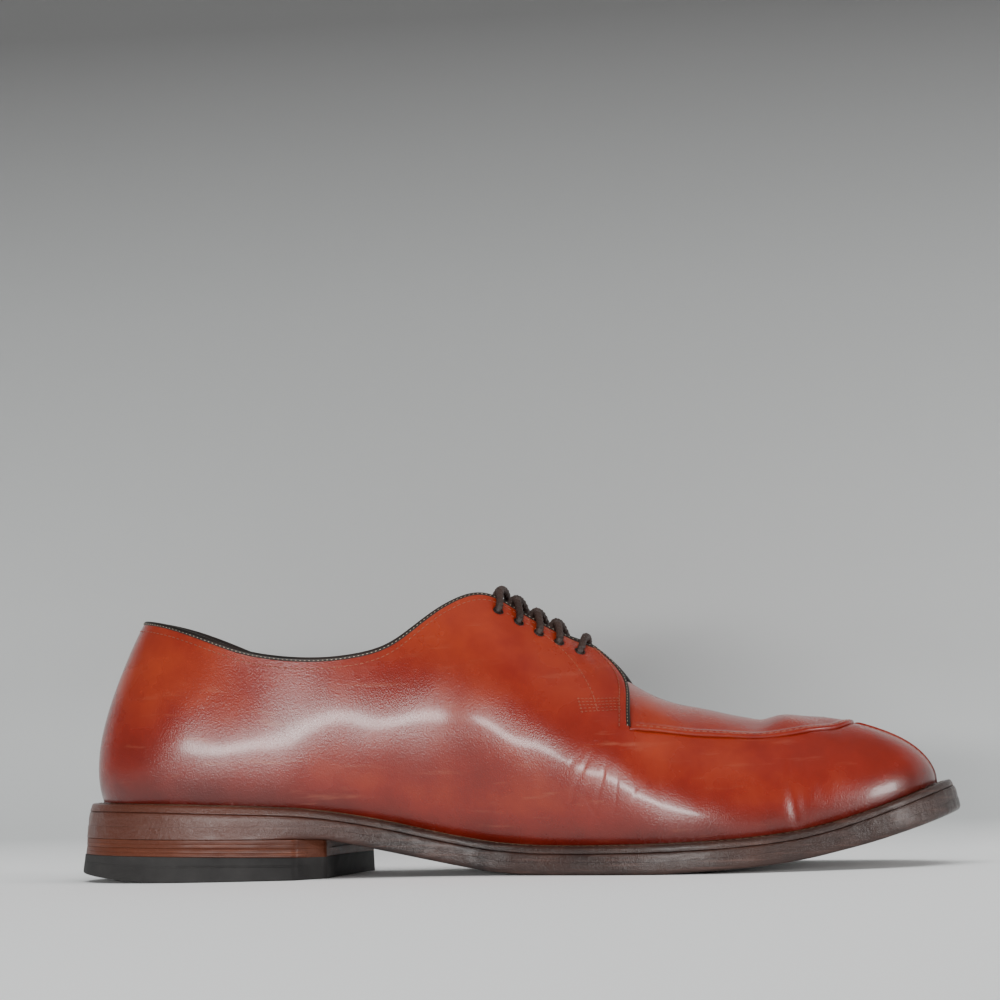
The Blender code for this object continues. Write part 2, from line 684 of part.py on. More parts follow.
def heel_loop(inset, height):
    """A closed loop round the heel and across its breast, notched at the inner corner."""
    halves = []
    for side, breast in (("medial", BREAST_MEDIAL), ("lateral", BREAST_LATERAL)):
        fine = np.linspace(0, 0.5, 400)
        point, normal = SIDES[side](fine)
        moved = point - normal * (inset + edge_insets(point[:, 0], 0.0))[:, None]
        stop = np.interp(breast * STRETCH_X, moved[:, 0], fine)
        t = np.linspace(0, 1, 15)
        chosen = stop * (0.55 * t + 0.45 * t**1.8)
        halves.append(np.stack([np.interp(chosen, fine, moved[:, axis]) for axis in (0, 1)], 1))
    notch = np.array(BREAST_NOTCH) * (STRETCH_X, 1.0)
    middle = np.array(BREAST_MIDDLE) * (STRETCH_X, 1.0)
    hollow = np.array([0.4, 0.0])
    corner = halves[1][-1]
    breast = [notch, (notch + middle) / 2 - hollow, middle,
              middle + (corner - middle) / 3 - hollow, middle + (corner - middle) * 2 / 3 - hollow]
    loop = np.concatenate([halves[0], breast, halves[1][:0:-1]])
    return np.column_stack([loop, height(loop[:, 0])])


def build_heel(collection):
    """Two leather lifts under the heel seat and the rubber top piece that stands on the floor."""
    def seat(x):
        relief = SEAT_RELIEF * ease(x, 75 * STRETCH_X, 95 * STRETCH_X)
        return bottom_height(x) - CLEARANCE - relief

    def straight(heights):
        back, breast = heights
        return lambda x: back + (breast - back) / BREAST_MIDDLE[0] * np.asarray(x)

    rubber_top = straight(RUBBER_TOP)
    middle = straight(LIFT_JOINT)

    def worn(x):
        share = np.clip(1 - np.asarray(x) / RUBBER_WEAR_LENGTH, 0, 1)
        return RUBBER_WEAR * share**RUBBER_WEAR_POWER

    def bevel(x):
        return np.maximum(worn(x) + RUBBER_BEVEL, RUBBER_LOWEST_EDGE)

    faces = ((lambda x: middle(x) + CLEARANCE / 2, seat),
             (lambda x: rubber_top(x) + CLEARANCE, lambda x: middle(x) - CLEARANCE / 2))
    for number, (flares, levels) in enumerate(zip(LIFT_FLARES, faces), 1):
        loops = [heel_loop(flare, level) for flare, level in zip(flares, levels)]
        slab("heel_lift_%d" % number, loops, "heel_leather", collection)
    rubber = [heel_loop(flare, face) for flare, face in zip(RUBBER_FLARES, (worn, bevel, rubber_top))]
    slab("heel_top_piece", rubber, "heel_rubber", collection)


def build_tongue(collection):
    """A thin tongue under both facings, worked out from the upper's own inner skin."""
    places = np.linspace(TONGUE_BACK, FACING_FRONT - FRONT_STRIP, 10)
    widths = np.array(TONGUE_ROWS)

    def rows(whole, seam):
        return whole - widths

    halves = []
    for side in ("medial", "lateral"):
        points, normals = skin(side, places, rows)
        share = ease(places, STEP_START, FACING_FRONT)[:, None]
        climb = ease(widths, TONGUE_CLIMB, 0.0)[None, :]
        depth = share * FACING_LIFT * climb - WALL - TONGUE_GAP
        halves.append([points + normals * (depth - below)[:, :, None] for below in (0, TONGUE_THICKNESS)])
    top, low = [np.concatenate([near, far[:, ::-1]], 1) for near, far in zip(*halves)]
    columns, rows_across = top.shape[:2]
    size = columns * rows_across
    faces = grid_faces(columns, rows_across)
    faces += [tuple(size + index for index in face[::-1]) for face in grid_faces(columns, rows_across)]
    for column in range(columns - 1):
        for row in (0, rows_across - 1):
            here, ahead = column * rows_across + row, (column + 1) * rows_across + row
            faces.append((here, ahead, size + ahead, size + here))
    for row in range(rows_across - 1):
        for column in (0, columns - 1):
            here = column * rows_across + row
            faces.append((here, here + 1, size + here + 1, size + here))
    vertices = np.concatenate([top.reshape(-1, 3), low.reshape(-1, 3)])
    new_object("tongue", vertices, faces, "lining_leather", collection)


def tube(name, route, radius, finish, collection, smooth_points, resolution=2):
    """A round cord along a smooth curve through the route's own points, as a mesh."""
    route = np.asarray(route, float)
    chord = np.concatenate([[0], np.cumsum(np.linalg.norm(np.diff(route, axis=0), axis=1))])
    points = cubic_spline(chord, route)(np.linspace(0, chord[-1], smooth_points)) * MM
    curve = bpy.data.curves.new(name + "_curve", "CURVE")
    curve.dimensions = "3D"
    curve.bevel_depth = radius * MM
    curve.bevel_resolution = resolution
    curve.use_fill_caps = True
    line = curve.splines.new("POLY")
    line.points.add(len(points) - 1)
    line.points.foreach_set("co", np.column_stack([points, np.ones(len(points))]).ravel())
    guide = bpy.data.objects.new(name + "_curve", curve)
    collection.objects.link(guide)
    bpy.context.view_layer.update()
    evaluated = guide.evaluated_get(bpy.context.evaluated_depsgraph_get())
    mesh = bpy.data.meshes.new_from_object(evaluated)
    bpy.data.objects.remove(guide)
    work = bmesh.new()
    work.from_mesh(mesh)
    bmesh.ops.remove_doubles(work, verts=work.verts, dist=0.00001)
    bmesh.ops.recalc_face_normals(work, faces=work.faces)
    work.to_mesh(mesh)
    work.free()
    mesh.materials.clear()
    mesh.materials.append(material(finish))
    item = bpy.data.objects.new(name, mesh)
    collection.objects.link(item)
    return item


def build_binding(collection):
    """The dark rolled edge round the topline, from the top of one facing to the other's."""
    route = []
    stand = BINDING_RADIUS + CLEARANCE + BINDING_GAP
    places = upper_places()
    places = places[places < FACING_BACK + 0.001]
    for side, order in (("medial", places[::-1]), ("lateral", places[1:])):
        def rows(whole, seam):
            return np.array([whole - 1.0, whole])
        points, normals = skin(side, order, rows)
        share = ease(order, STEP_START, FACING_FRONT)
        height = share * (FACING_STEP - FOOT_STEP + FACING_LIFT) - BINDING_RADIUS
        beyond = points[:, 1] - points[:, 0]
        beyond /= np.linalg.norm(beyond, axis=1)[:, None]
        route.extend(points[:, 1] + normals[:, 1] * height[:, None] + beyond * stand)
    tube("binding", route, BINDING_RADIUS, "dark_binding", collection, 96, resolution=1)


def lace_leg(side, place, ahead):
    """The stretch of lace from an eyelet, up over the facing's free edge.

    ahead is how far the lace has moved along the facing by the time that it reaches the edge.
    """
    at_eyelet, half_way, at_edge = LACE_STANDS
    return [facing_point(side, place, EYELET_INSET, LACE_RADIUS + at_eyelet)[0],
            facing_point(side, place + 0.4 * ahead, 0.45 * EYELET_INSET, LACE_RADIUS + half_way)[0],
            facing_point(side, place + ahead, 0.0, LACE_RADIUS + at_edge)[0]]


def lace_tuck(side, place):
    """The point in the gap between the facings where a lace dives under a facing's free edge."""
    edge, _ = facing_point(side, place, 0.0, -1.0)
    other, _ = facing_point("lateral" if side == "medial" else "medial", place, 0.0, -1.0)
    across = (other - edge) / np.linalg.norm(other - edge)
    return edge + across * (LACE_RADIUS + LACE_TUCK_GAP)


def build_laces(collection, cutters):
    """A straight bar over the lowest pair of eyelets and a crossing from each pair above it.

    A crossing's two laces leave a pair of eyelets, cross in the gap and dive under the opposite
    facing on their way to the next pair. The ends at the top pair are tucked in the same way.
    """
    lowest = EYELET_PLACES[-1]
    legs = [lace_leg(side, lowest, 0.0) for side in ("medial", "lateral")]
    middle = (legs[0][2] + legs[1][2]) / 2 + np.array([0.0, 0.0, BAR_ARCH])
    tube("lace_bar", legs[0] + [middle] + legs[1][::-1], LACE_RADIUS, "waxed_lace", collection, 15)
    for index in range(len(EYELET_PLACES) - 1):
        place = EYELET_PLACES[index]
        step = (EYELET_PLACES[0] - EYELET_PLACES[-1]) / (len(EYELET_PLACES) - 1)
        step *= TOP_CROSSING_SHARE if index == 0 else 1.0
        name = "lace_crossing_%d" % (len(EYELET_PLACES) - 1 - index)
        strands = []
        for side, other, lap in (("medial", "lateral", 0.0), ("lateral", "medial", CROSSING_LAP)):
            leg = lace_leg(side, place, EDGE_SHARE * step)
            tuck = lace_tuck(other, place + TUCK_SHARE * step)
            middle = leg[2] * 0.45 + tuck * 0.55 + np.array([0.0, 0.0, CROSSING_ARCH + lap])
            strands.append(tube(name + "_" + side, leg + [middle, tuck], LACE_RADIUS, "waxed_lace",
                                collection, 12))
        under, over = strands
        under.name = name
        join = under.modifiers.new("join", "BOOLEAN")
        join.operation = "UNION"
        join.solver = "EXACT"
        join.object = over
        over.hide_render = True
        over.display_type = "WIRE"
        collection.objects.unlink(over)
        cutters.objects.link(over)


def centre_on_floor(collection, cutters):
    """Move every mesh so that the shoe's box is centred on the origin and stands on z = 0."""
    bpy.context.view_layer.update()
    corners = np.array([item.matrix_world @ Vector(corner) for item in collection.objects
                        for corner in item.bound_box])
    low, high = corners.min(0), corners.max(0)
    shift = Vector((-(low[0] + high[0]) / 2, -(low[1] + high[1]) / 2, -low[2]))
    meshes = {item.data for item in list(collection.objects) + list(cutters.objects)}
    for mesh in meshes:
        places = np.empty(len(mesh.vertices) * 3)
        mesh.vertices.foreach_get("co", places)
        mesh.vertices.foreach_set("co", (places.reshape(-1, 3) + np.array(shift)).ravel())
        mesh.update()


def main():
    for item in list(bpy.data.objects):
        bpy.data.objects.remove(item)
    shoe = bpy.data.collections.new("split_toe_derby")
    cutters = bpy.data.collections.new("cutters")
    bpy.context.scene.collection.children.link(shoe)
    bpy.context.scene.collection.children.link(cutters)
    build_sole(shoe)
    build_heel(shoe)
    build_insole(shoe)
    build_upper(shoe, cutters)
    build_tongue(shoe)
    build_binding(shoe)
    build_laces(shoe, cutters)
    centre_on_floor(shoe, cutters)


main()
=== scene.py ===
import bpy
import bmesh
import numpy as np
from mathutils import Matrix


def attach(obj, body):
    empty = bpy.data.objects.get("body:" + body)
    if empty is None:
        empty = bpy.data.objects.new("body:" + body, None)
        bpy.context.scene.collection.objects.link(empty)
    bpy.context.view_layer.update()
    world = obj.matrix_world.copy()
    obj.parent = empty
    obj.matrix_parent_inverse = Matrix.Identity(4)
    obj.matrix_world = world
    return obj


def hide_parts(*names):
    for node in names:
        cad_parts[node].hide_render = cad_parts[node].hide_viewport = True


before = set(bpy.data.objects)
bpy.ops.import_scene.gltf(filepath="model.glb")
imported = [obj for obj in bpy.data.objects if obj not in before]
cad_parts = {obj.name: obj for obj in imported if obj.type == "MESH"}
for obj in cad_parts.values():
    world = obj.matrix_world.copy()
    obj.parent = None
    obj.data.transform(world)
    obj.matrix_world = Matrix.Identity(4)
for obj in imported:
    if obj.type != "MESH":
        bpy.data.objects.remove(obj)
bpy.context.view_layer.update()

# Studio: a pale sheet that bends up behind the shoe, a wide low soft box beside the camera, a small
# one ahead of the toe, a broad one overhead and a grey surround. The camera stands low on the
# inner side of the shoe, with a long lens, and is rolled a little.
CAMERA_TURN = np.radians(7.0)
CAMERA_AWAY = 1.050
CAMERA_HEIGHT = 0.045
CAMERA_ROLL = np.radians(1.5)
CAMERA_SLIDE = -0.0024
FOCAL_PIXELS = 3000.0
HORIZON_BELOW_MIDDLE = 242.0
FRAME_PIXELS = 1000.0
SENSOR_WIDTH = 36.0
WARM_WHITE = (1.0, 0.985, 0.97)
COOL_WHITE = (0.98, 1.0, 1.0)
SURROUND_GREY = (0.50, 0.52, 0.53, 1)
SURROUND_STRENGTH = 0.42
SHEET_REACH = 4.0
BEND_START = 0.075
BEND_RADIUS = 0.075
BACKDROP_TOP = 1.1
# painted shade: the sheet's grey at heights in m, white on the floor and darker up the backdrop, where
# the light falls off
SHEET_SHADE_GREYS = ((0.0, 0.86), (0.012, 0.50), (0.10, 0.46), (0.22, 0.30), (0.34, 0.10))


def add_camera():
    """The camera looks along (-sin turn, cos turn), raised so that the horizon lies low."""
    forward = np.array([-np.sin(CAMERA_TURN), np.cos(CAMERA_TURN), 0.0])
    right = np.array([np.cos(CAMERA_TURN), np.sin(CAMERA_TURN), 0.0])
    pitch = np.arctan(HORIZON_BELOW_MIDDLE / FOCAL_PIXELS)
    look = forward * np.cos(pitch) + np.array([0, 0, 1]) * np.sin(pitch)
    up = np.cross(right, look)
    place = -forward * CAMERA_AWAY + right * CAMERA_SLIDE
    place[2] = CAMERA_HEIGHT
    turn = Matrix(np.stack([right, up, -look], 1).tolist()).to_4x4()
    data = bpy.data.cameras.new("camera")
    data.sensor_width = SENSOR_WIDTH
    data.lens = FOCAL_PIXELS / FRAME_PIXELS * data.sensor_width
    data.clip_start = 0.05
    camera = bpy.data.objects.new("camera", data)
    camera.matrix_world = Matrix.Translation(place) @ turn @ Matrix.Rotation(-CAMERA_ROLL, 4, "Z")
    bpy.context.scene.collection.objects.link(camera)
    bpy.context.scene.camera = camera


def soft_light(name, place, target, width, height, power, colour, glossy=True):
    """A rectangular soft box at a place, facing a target; one without gloss leaves no highlight."""
    data = bpy.data.lights.new(name, "AREA")
    data.shape = "RECTANGLE"
    data.size = width
    data.size_y = height
    data.energy = power
    data.color = colour
    light = bpy.data.objects.new(name, data)
    away = np.array(place) - np.array(target)
    away = away / np.linalg.norm(away)
    side = np.cross((0, 0, 1), away)
    side = side / np.linalg.norm(side)
    turn = Matrix(np.stack([side, np.cross(away, side), away], 1).tolist()).to_4x4()
    light.matrix_world = Matrix.Translation(place) @ turn
    light.visible_glossy = glossy
    bpy.context.scene.collection.objects.link(light)


def surround():
    """An even grey world that only fills the shadows and reflections."""
    world = bpy.data.worlds.new("surround")
    bpy.context.scene.world = world
    world.use_nodes = True
    background = world.node_tree.nodes["Background"]
    background.inputs["Color"].default_value = SURROUND_GREY
    background.inputs["Strength"].default_value = SURROUND_STRENGTH


def floor_sheet(name, profile, paint):
    """A wide sheet whose section in (y, z) is the profile, its faces up and to the camera."""
    ends = np.array([-SHEET_REACH, SHEET_REACH])
    points = np.concatenate([np.column_stack([np.full(len(profile), x), profile]) for x in ends])
    near = np.arange(len(profile) - 1)
    faces = np.stack([near, near + len(profile), near + len(profile) + 1, near + 1], -1)
    mesh = bpy.data.meshes.new(name)
    mesh.from_pydata(points.tolist(), [], faces.tolist())
    mesh.shade_smooth()
    mesh.materials.append(paint)
    sheet = bpy.data.objects.new(name, mesh)
    bpy.context.scene.collection.objects.link(sheet)


def floor_paint():
    """Matt white that greys with height in m, as painted shade up the backdrop; the sheet is clear from
    behind, so the shoe shows.
    """
    paint = bpy.data.materials.new("floor_paint")
    paint.use_nodes = True
    nodes, links = paint.node_tree.nodes, paint.node_tree.links
    place = nodes.new("ShaderNodeTexCoord")
    split = nodes.new("ShaderNodeSeparateXYZ")
    ramp = nodes.new("ShaderNodeValToRGB")
    links.new(place.outputs["Object"], split.inputs[0])
    links.new(split.outputs["Z"], ramp.inputs["Fac"])
    links.new(ramp.outputs["Color"], nodes["Principled BSDF"].inputs["Base Color"])
    for end in (0, -1):
        ramp.color_ramp.elements[end].position = SHEET_SHADE_GREYS[end][0]
        ramp.color_ramp.elements[end].color = (SHEET_SHADE_GREYS[end][1],) * 3 + (1,)
    for position, grey in SHEET_SHADE_GREYS[1:-1]:
        ramp.color_ramp.elements.new(position).color = (grey * 0.975, grey, grey, 1)
    nodes["Principled BSDF"].inputs["Roughness"].default_value = 0.8
    side = nodes.new("ShaderNodeNewGeometry")
    clear = nodes.new("ShaderNodeBsdfTransparent")
    mix = nodes.new("ShaderNodeMixShader")
    links.new(side.outputs["Backfacing"], mix.inputs["Fac"])
    links.new(nodes["Principled BSDF"].outputs["BSDF"], mix.inputs[1])
    links.new(clear.outputs["BSDF"], mix.inputs[2])
    links.new(mix.outputs["Shader"], nodes["Material Output"].inputs["Surface"])
    return paint


def add_floor():
    """A pale floor that bends up behind the shoe, and the same floor flat beyond the bend."""
    turn = np.linspace(0, np.pi / 2, 24)
    arc = np.column_stack([BEND_START + BEND_RADIUS * np.sin(turn),
                           BEND_RADIUS - BEND_RADIUS * np.cos(turn)])
    near_end = (-SHEET_REACH, 0.0)
    top_end = (BEND_START + BEND_RADIUS, BACKDROP_TOP)
    paint = floor_paint()
    floor_sheet("floor", np.concatenate([[near_end], arc, [top_end]]), paint)
    floor_sheet("floor_beyond", np.array([(BEND_START, 0.0), (SHEET_REACH, 0.0)]), paint)


add_camera()
surround()
add_floor()
soft_light("key", place=(-0.32, -1.30, 0.155), target=(0, 0, 0.04), width=0.75, height=0.11,
           power=10.5, colour=WARM_WHITE)
soft_light("toe_key", place=(1.05, -0.46, 0.22), target=(0.12, 0, 0.04), width=0.34, height=0.24,
           power=5.0, colour=WARM_WHITE)
soft_light("top", place=(0.0, -0.25, 1.3), target=(0, 0.02, 0.0), width=1.6, height=0.9,
           power=16.0, colour=COOL_WHITE, glossy=False)

# Insole: the leather sole inside the shoe that everything is lasted over. Its outline and heights
# come first, because every other piece follows them; its sock is laid in last, as in a real shoe.
MM = 0.001
SOLE_LENGTH = 308.0
BALL_WIDTH = 103.6
SHOE_PLACE = np.array([-154.14, -1.058, 0.0])
# outline: place along the sole, and inner and outer edge, as shares of its length and ball width
OUTLINE = np.array([
    (0.000, 0.000, 0.000), (0.013, -0.140, 0.140), (0.045, -0.241, 0.241), (0.104, -0.309, 0.309),
    (0.188, -0.333, 0.333), (0.279, -0.309, 0.328), (0.364, -0.265, 0.323), (0.435, -0.251, 0.333),
    (0.506, -0.294, 0.381), (0.578, -0.381, 0.449), (0.643, -0.454, 0.497), (0.701, -0.488, 0.510),
    (0.766, -0.481, 0.478), (0.831, -0.434, 0.409), (0.893, -0.366, 0.336), (0.943, -0.286, 0.252),
    (0.982, -0.170, 0.136), (1.000, -0.018, -0.018),
])
# heights of the sole's underside and the welt's top: (distance from the heel, height) in mm
SOLE_BOTTOM = (
    (0, 15.6), (46, 14.6), (90, 13.6), (100, 11.8), (112, 9.1), (125, 6.1), (139, 3.1), (152, 0.9),
    (166, 0.0), (206, 0.0), (218, 0.6), (231, 1.3), (243, 2.3), (256, 4.1), (268, 6.6), (277, 8.7),
    (288, 11.8), (297, 14.6), (308, 18.4),
)
WELT_TOP = (
    (0, 27.3), (20, 27.0), (57, 25.6), (78, 24.5), (90, 23.2), (103, 21.0), (117, 18.0), (125, 16.0),
    (138, 13.1), (152, 10.8), (166, 9.8), (180, 9.6), (200, 9.8), (218, 10.3), (231, 10.9),
    (250, 12.7), (263, 15.2), (275, 18.6), (288, 22.9), (297, 26.2), (308, 29.8),
)


def bending_curve(places, values, closed=False):
    """A curve through rows of values with unbroken curvature: a natural cubic spline."""
    places = np.asarray(places, float)
    values = np.asarray(values, float).reshape(len(places), -1)
    count, step = len(places), np.diff(places)
    matrix, right = np.zeros((count, count)), np.zeros(values.shape)
    slope = np.diff(values, axis=0) / step[:, None]
    inner = np.arange(1, count - 1)
    matrix[inner, inner - 1] = step[:-1]
    matrix[inner, inner] = 2 * (step[:-1] + step[1:])
    matrix[inner, inner + 1] = step[1:]
    right[inner] = 6 * np.diff(slope, axis=0)
    matrix[0, 0] = matrix[-1, -1] = 1
    if closed:
        matrix[0, -1] = -1
        matrix[-1, [0, 1, -2, -1]] = 2 * step[0], step[0], step[-1], 2 * step[-1]
        right[-1] = 6 * (slope[0] - slope[-1])
    bend = np.linalg.solve(matrix, right)

    def curve(place):
        place = np.asarray(place, float)
        span = np.clip(np.searchsorted(places, place) - 1, 0, count - 2)
        width = step[span][..., None]
        before = (places[span + 1] - place)[..., None] / width
        after = (place - places[span])[..., None] / width
        curved = (before**3 - before) * bend[span] + (after**3 - after) * bend[span + 1]
        return before * values[span] + after * values[span + 1] + curved * width**2 / 6

    return curve


def steady_curve(rows):
    """A smooth curve through (along, height) rows that never overshoots them."""
    x, z = np.array(rows, float).T
    step = np.diff(x)
    slope = np.diff(z) / step
    same_way = slope[:-1] * slope[1:] > 0
    inner = 2 * slope[:-1] * slope[1:] / np.where(same_way, slope[:-1] + slope[1:], 1)
    tangent = np.concatenate([slope[:1], np.where(same_way, inner, 0), slope[-1:]])

    def curve(place):
        place = np.clip(np.asarray(place, float), x[0], x[-1])
        span = np.clip(np.searchsorted(x, place) - 1, 0, len(x) - 2)
        width = step[span]
        t = (place - x[span]) / width
        ends = (2 * t**3 - 3 * t**2 + 1) * z[span] + (3 * t**2 - 2 * t**3) * z[span + 1]
        leave = (t**3 - 2 * t**2 + t) * width * tangent[span]
        arrive = (t**3 - t**2) * width * tangent[span + 1]
        return ends + leave + arrive

    return curve


def ease(value, low, high):
    """0 below low, 1 above high, with a smooth rise between."""
    t = np.clip((np.asarray(value, float) - low) / (high - low), 0, 1)
    return t * t * (3 - 2 * t)


def outline_sides():
    """Both sides of the outline, as points and outward normals for places 0 (heel) to 1 (toe)."""
    medial = OUTLINE[:, [0, 1]] * (SOLE_LENGTH, BALL_WIDTH)
    lateral = OUTLINE[:, [0, 2]] * (SOLE_LENGTH, BALL_WIDTH)
    loop = np.concatenate([medial, lateral[-2:0:-1], medial[:1]])
    chord = np.concatenate([[0], np.cumsum(np.linalg.norm(np.diff(loop, axis=0), axis=1))])
    curve = bending_curve(chord, loop, closed=True)
    toe = chord[len(medial) - 1]

    def side(end):
        samples = np.linspace(end, toe, 1500)
        run = np.linalg.norm(np.diff(curve(samples), axis=0), axis=1)
        run = np.concatenate([[0], np.cumsum(run)]) / run.sum()

        def at(place):
            spot = np.interp(place, run, samples)
            nudge = 0.05
            tangent = curve((spot + nudge) % chord[-1]) - curve((spot - nudge) % chord[-1])
            tangent /= np.linalg.norm(tangent, axis=-1)[..., None]
            return curve(spot), np.stack([tangent[..., 1], -tangent[..., 0]], -1)

        return at

    return {"medial": side(0.0), "lateral": side(chord[-1])}


EDGE = outline_sides()
bottom_height = steady_curve(SOLE_BOTTOM)
welt_height = steady_curve(WELT_TOP)


def edge_taper(x, share):
    """How far a layer stands in from the outline at heel and toe; share is 0 low to 1 high."""
    at_heel = 1 - ease(x, 0, 46)
    at_toe = ease(x, SOLE_LENGTH - 26, SOLE_LENGTH)
    return at_heel * (2.4 + 1.6 * share) + at_toe * 3.2 * share


def edge_loop(inset, height, share, count):
    """A closed loop of points that follows the outline: heel, inner side, toe, outer side.

    inset is a number or a function of place; share is the taper's, or None for no taper.
    """
    t = np.linspace(0, 1, count)
    places = t - 0.085 * np.sin(2 * np.pi * t)
    loops = []
    for side in ("medial", "lateral"):
        point, normal = EDGE[side](places)
        step = inset(places) if callable(inset) else np.full(count, float(inset))
        if share is not None:
            step = step + edge_taper(point[:, 0], share)
        moved = point - normal * step[:, None]
        loops.append(np.column_stack([moved, height(moved[:, 0])]))
    return np.concatenate([loops[0], loops[1][-2:0:-1]])


def put_mesh(name, points, faces, material, sharp=40.0, weld=0.00002):
    """A piece from points in mm and faces; doubles merged, faces outwards, smooth shaded."""
    mesh = bpy.data.meshes.new(name)
    faces = faces if isinstance(faces, list) else faces.tolist()
    mesh.from_pydata(((np.asarray(points) + SHOE_PLACE) * MM).tolist(), [], faces)
    work = bmesh.new()
    work.from_mesh(mesh)
    bmesh.ops.remove_doubles(work, verts=work.verts, dist=weld)
    bmesh.ops.recalc_face_normals(work, faces=work.faces)
    if work.calc_volume(signed=True) < 0:
        bmesh.ops.reverse_faces(work, faces=work.faces)
    work.to_mesh(mesh)
    work.free()
    mesh.shade_smooth()
    mesh.set_sharp_from_angle(angle=np.radians(sharp))
    mesh.materials.append(material)
    piece = bpy.data.objects.new(name, mesh)
    bpy.context.scene.collection.objects.link(piece)
    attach(piece, "root")
    return piece


def grid_quads(columns, rows, round_columns=False, round_rows=False):
    """The quads of a grid of points, stored column by column, as one array."""
    column = np.arange(columns if round_columns else columns - 1)[:, None]
    row = np.arange(rows if round_rows else rows - 1)[None, :]
    ahead, above = (column + 1) % columns, (row + 1) % rows
    corners = [column * rows + row, ahead * rows + row, ahead * rows + above, column * rows + above]
    return np.stack([c + np.zeros_like(column + row) for c in corners], -1).reshape(-1, 4)


def closed_plate(outer, inner):
    """Points and quads of a plate between two grids of the same size, closed round its rim."""
    columns, rows = outer.shape[:2]
    size = columns * rows
    index = np.arange(size).reshape(columns, rows)
    rim = np.concatenate([index[:, 0], index[-1, 1:], index[-2::-1, -1], index[0, -2:0:-1]])
    turn = np.roll(rim, -1)
    sides = np.stack([rim, rim + size, turn + size, turn], -1)
    quads = np.concatenate([grid_quads(columns, rows), grid_quads(columns, rows)[:, ::-1] + size, sides])
    return np.concatenate([outer.reshape(-1, 3), inner.reshape(-1, 3)]), quads


def stack_of_loops(loops, hollow=False):
    """Points and quads of a body from closed loops: filled by strips, or joined last to first."""
    count = len(loops[0])
    quads = grid_quads(len(loops), count, round_columns=hollow, round_rows=True)
    if hollow:
        return np.concatenate(loops), quads
    half = count // 2
    near = np.arange(1, half - 1)
    strip = np.stack([near, near + 1, count - near - 1, count - near], -1)
    tips = np.array([(0, 1, count - 1), (half - 1, half, half + 1)])
    last = (len(loops) - 1) * count
    quads = np.concatenate([quads, strip, strip + last]).tolist()
    return np.concatenate(loops), quads + tips.tolist() + (tips + last).tolist()


def node_group(name, inputs, outputs):
    """An empty shader group with named sockets; inputs are (name, kind, value)."""
    group = bpy.data.node_groups.new(name, "ShaderNodeTree")
    for label, kind, value in inputs:
        socket = group.interface.new_socket(label, in_out="INPUT", socket_type=kind)
        socket.default_value = value
    for label, kind in outputs:
        group.interface.new_socket(label, in_out="OUTPUT", socket_type=kind)
    return group, group.nodes.new("NodeGroupInput"), group.nodes.new("NodeGroupOutput")


def grain_group():
    """Leather grain in object space: small closed cells under fine noise, and a soft mottle."""
    group, into, out = node_group(
        "leather_grain",
        [("Cell Size", "NodeSocketFloat", 900.0), ("Cell Depth", "NodeSocketFloat", 0.5)],
        [("Height", "NodeSocketFloat"), ("Mottle", "NodeSocketFloat"), ("Fine", "NodeSocketFloat")])
    nodes, links = group.nodes, group.links
    place = nodes.new("ShaderNodeTexCoord")
    cells = nodes.new("ShaderNodeTexVoronoi")
    fine = nodes.new("ShaderNodeTexNoise")
    mottle = nodes.new("ShaderNodeTexNoise")
    deep = nodes.new("ShaderNodeMath")
    total = nodes.new("ShaderNodeMath")
    deep.operation = "MULTIPLY"
    total.operation = "ADD"
    fine.inputs["Scale"].default_value = 2600.0
    fine.inputs["Detail"].default_value = 2.0
    mottle.inputs["Scale"].default_value = 34.0
    mottle.inputs["Detail"].default_value = 4.0
    mottle.inputs["Roughness"].default_value = 0.62
    for texture in (cells, fine, mottle):
        links.new(place.outputs["Object"], texture.inputs["Vector"])
    links.new(into.outputs["Cell Size"], cells.inputs["Scale"])
    links.new(cells.outputs["Distance"], deep.inputs[0])
    links.new(into.outputs["Cell Depth"], deep.inputs[1])
    links.new(deep.outputs[0], total.inputs[0])
    links.new(fine.outputs["Fac"], total.inputs[1])
    links.new(total.outputs[0], out.inputs["Height"])
    links.new(mottle.outputs["Fac"], out.inputs["Mottle"])
    links.new(fine.outputs["Fac"], out.inputs["Fine"])
    return group


GRAIN = grain_group()


def leather(name, dark, light, rough, cell_size=900.0, bump=0.25, coat=0.0):
    """Plain leather or cloth: two mottled colours, grain bump and uneven gloss."""
    made = bpy.data.materials.new(name)
    made.use_nodes = True
    nodes, links = made.node_tree.nodes, made.node_tree.links
    shader = nodes["Principled BSDF"]
    grain = nodes.new("ShaderNodeGroup")
    grain.node_tree = GRAIN
    grain.inputs["Cell Size"].default_value = cell_size
    colour = nodes.new("ShaderNodeValToRGB")
    colour.color_ramp.elements[0].position = 0.35
    colour.color_ramp.elements[0].color = (*dark, 1)
    colour.color_ramp.elements[1].position = 0.68
    colour.color_ramp.elements[1].color = (*light, 1)
    gloss = nodes.new("ShaderNodeMapRange")
    gloss.inputs["To Min"].default_value = rough - 0.08
    gloss.inputs["To Max"].default_value = rough + 0.12
    lift = nodes.new("ShaderNodeBump")
    lift.inputs["Strength"].default_value = bump
    lift.inputs["Distance"].default_value = 0.0002
    links.new(grain.outputs["Mottle"], colour.inputs["Fac"])
    links.new(grain.outputs["Mottle"], gloss.inputs["Value"])
    links.new(grain.outputs["Height"], lift.inputs["Height"])
    links.new(colour.outputs["Color"], shader.inputs["Base Color"])
    links.new(gloss.outputs["Result"], shader.inputs["Roughness"])
    links.new(lift.outputs["Normal"], shader.inputs["Normal"])
    shader.inputs["Coat Weight"].default_value = coat
    shader.inputs["Coat Roughness"].default_value = 0.25
    return made


lining_leather = leather("lining_leather", (0.27, 0.15, 0.075), (0.42, 0.26, 0.14), 0.62, 1100.0)

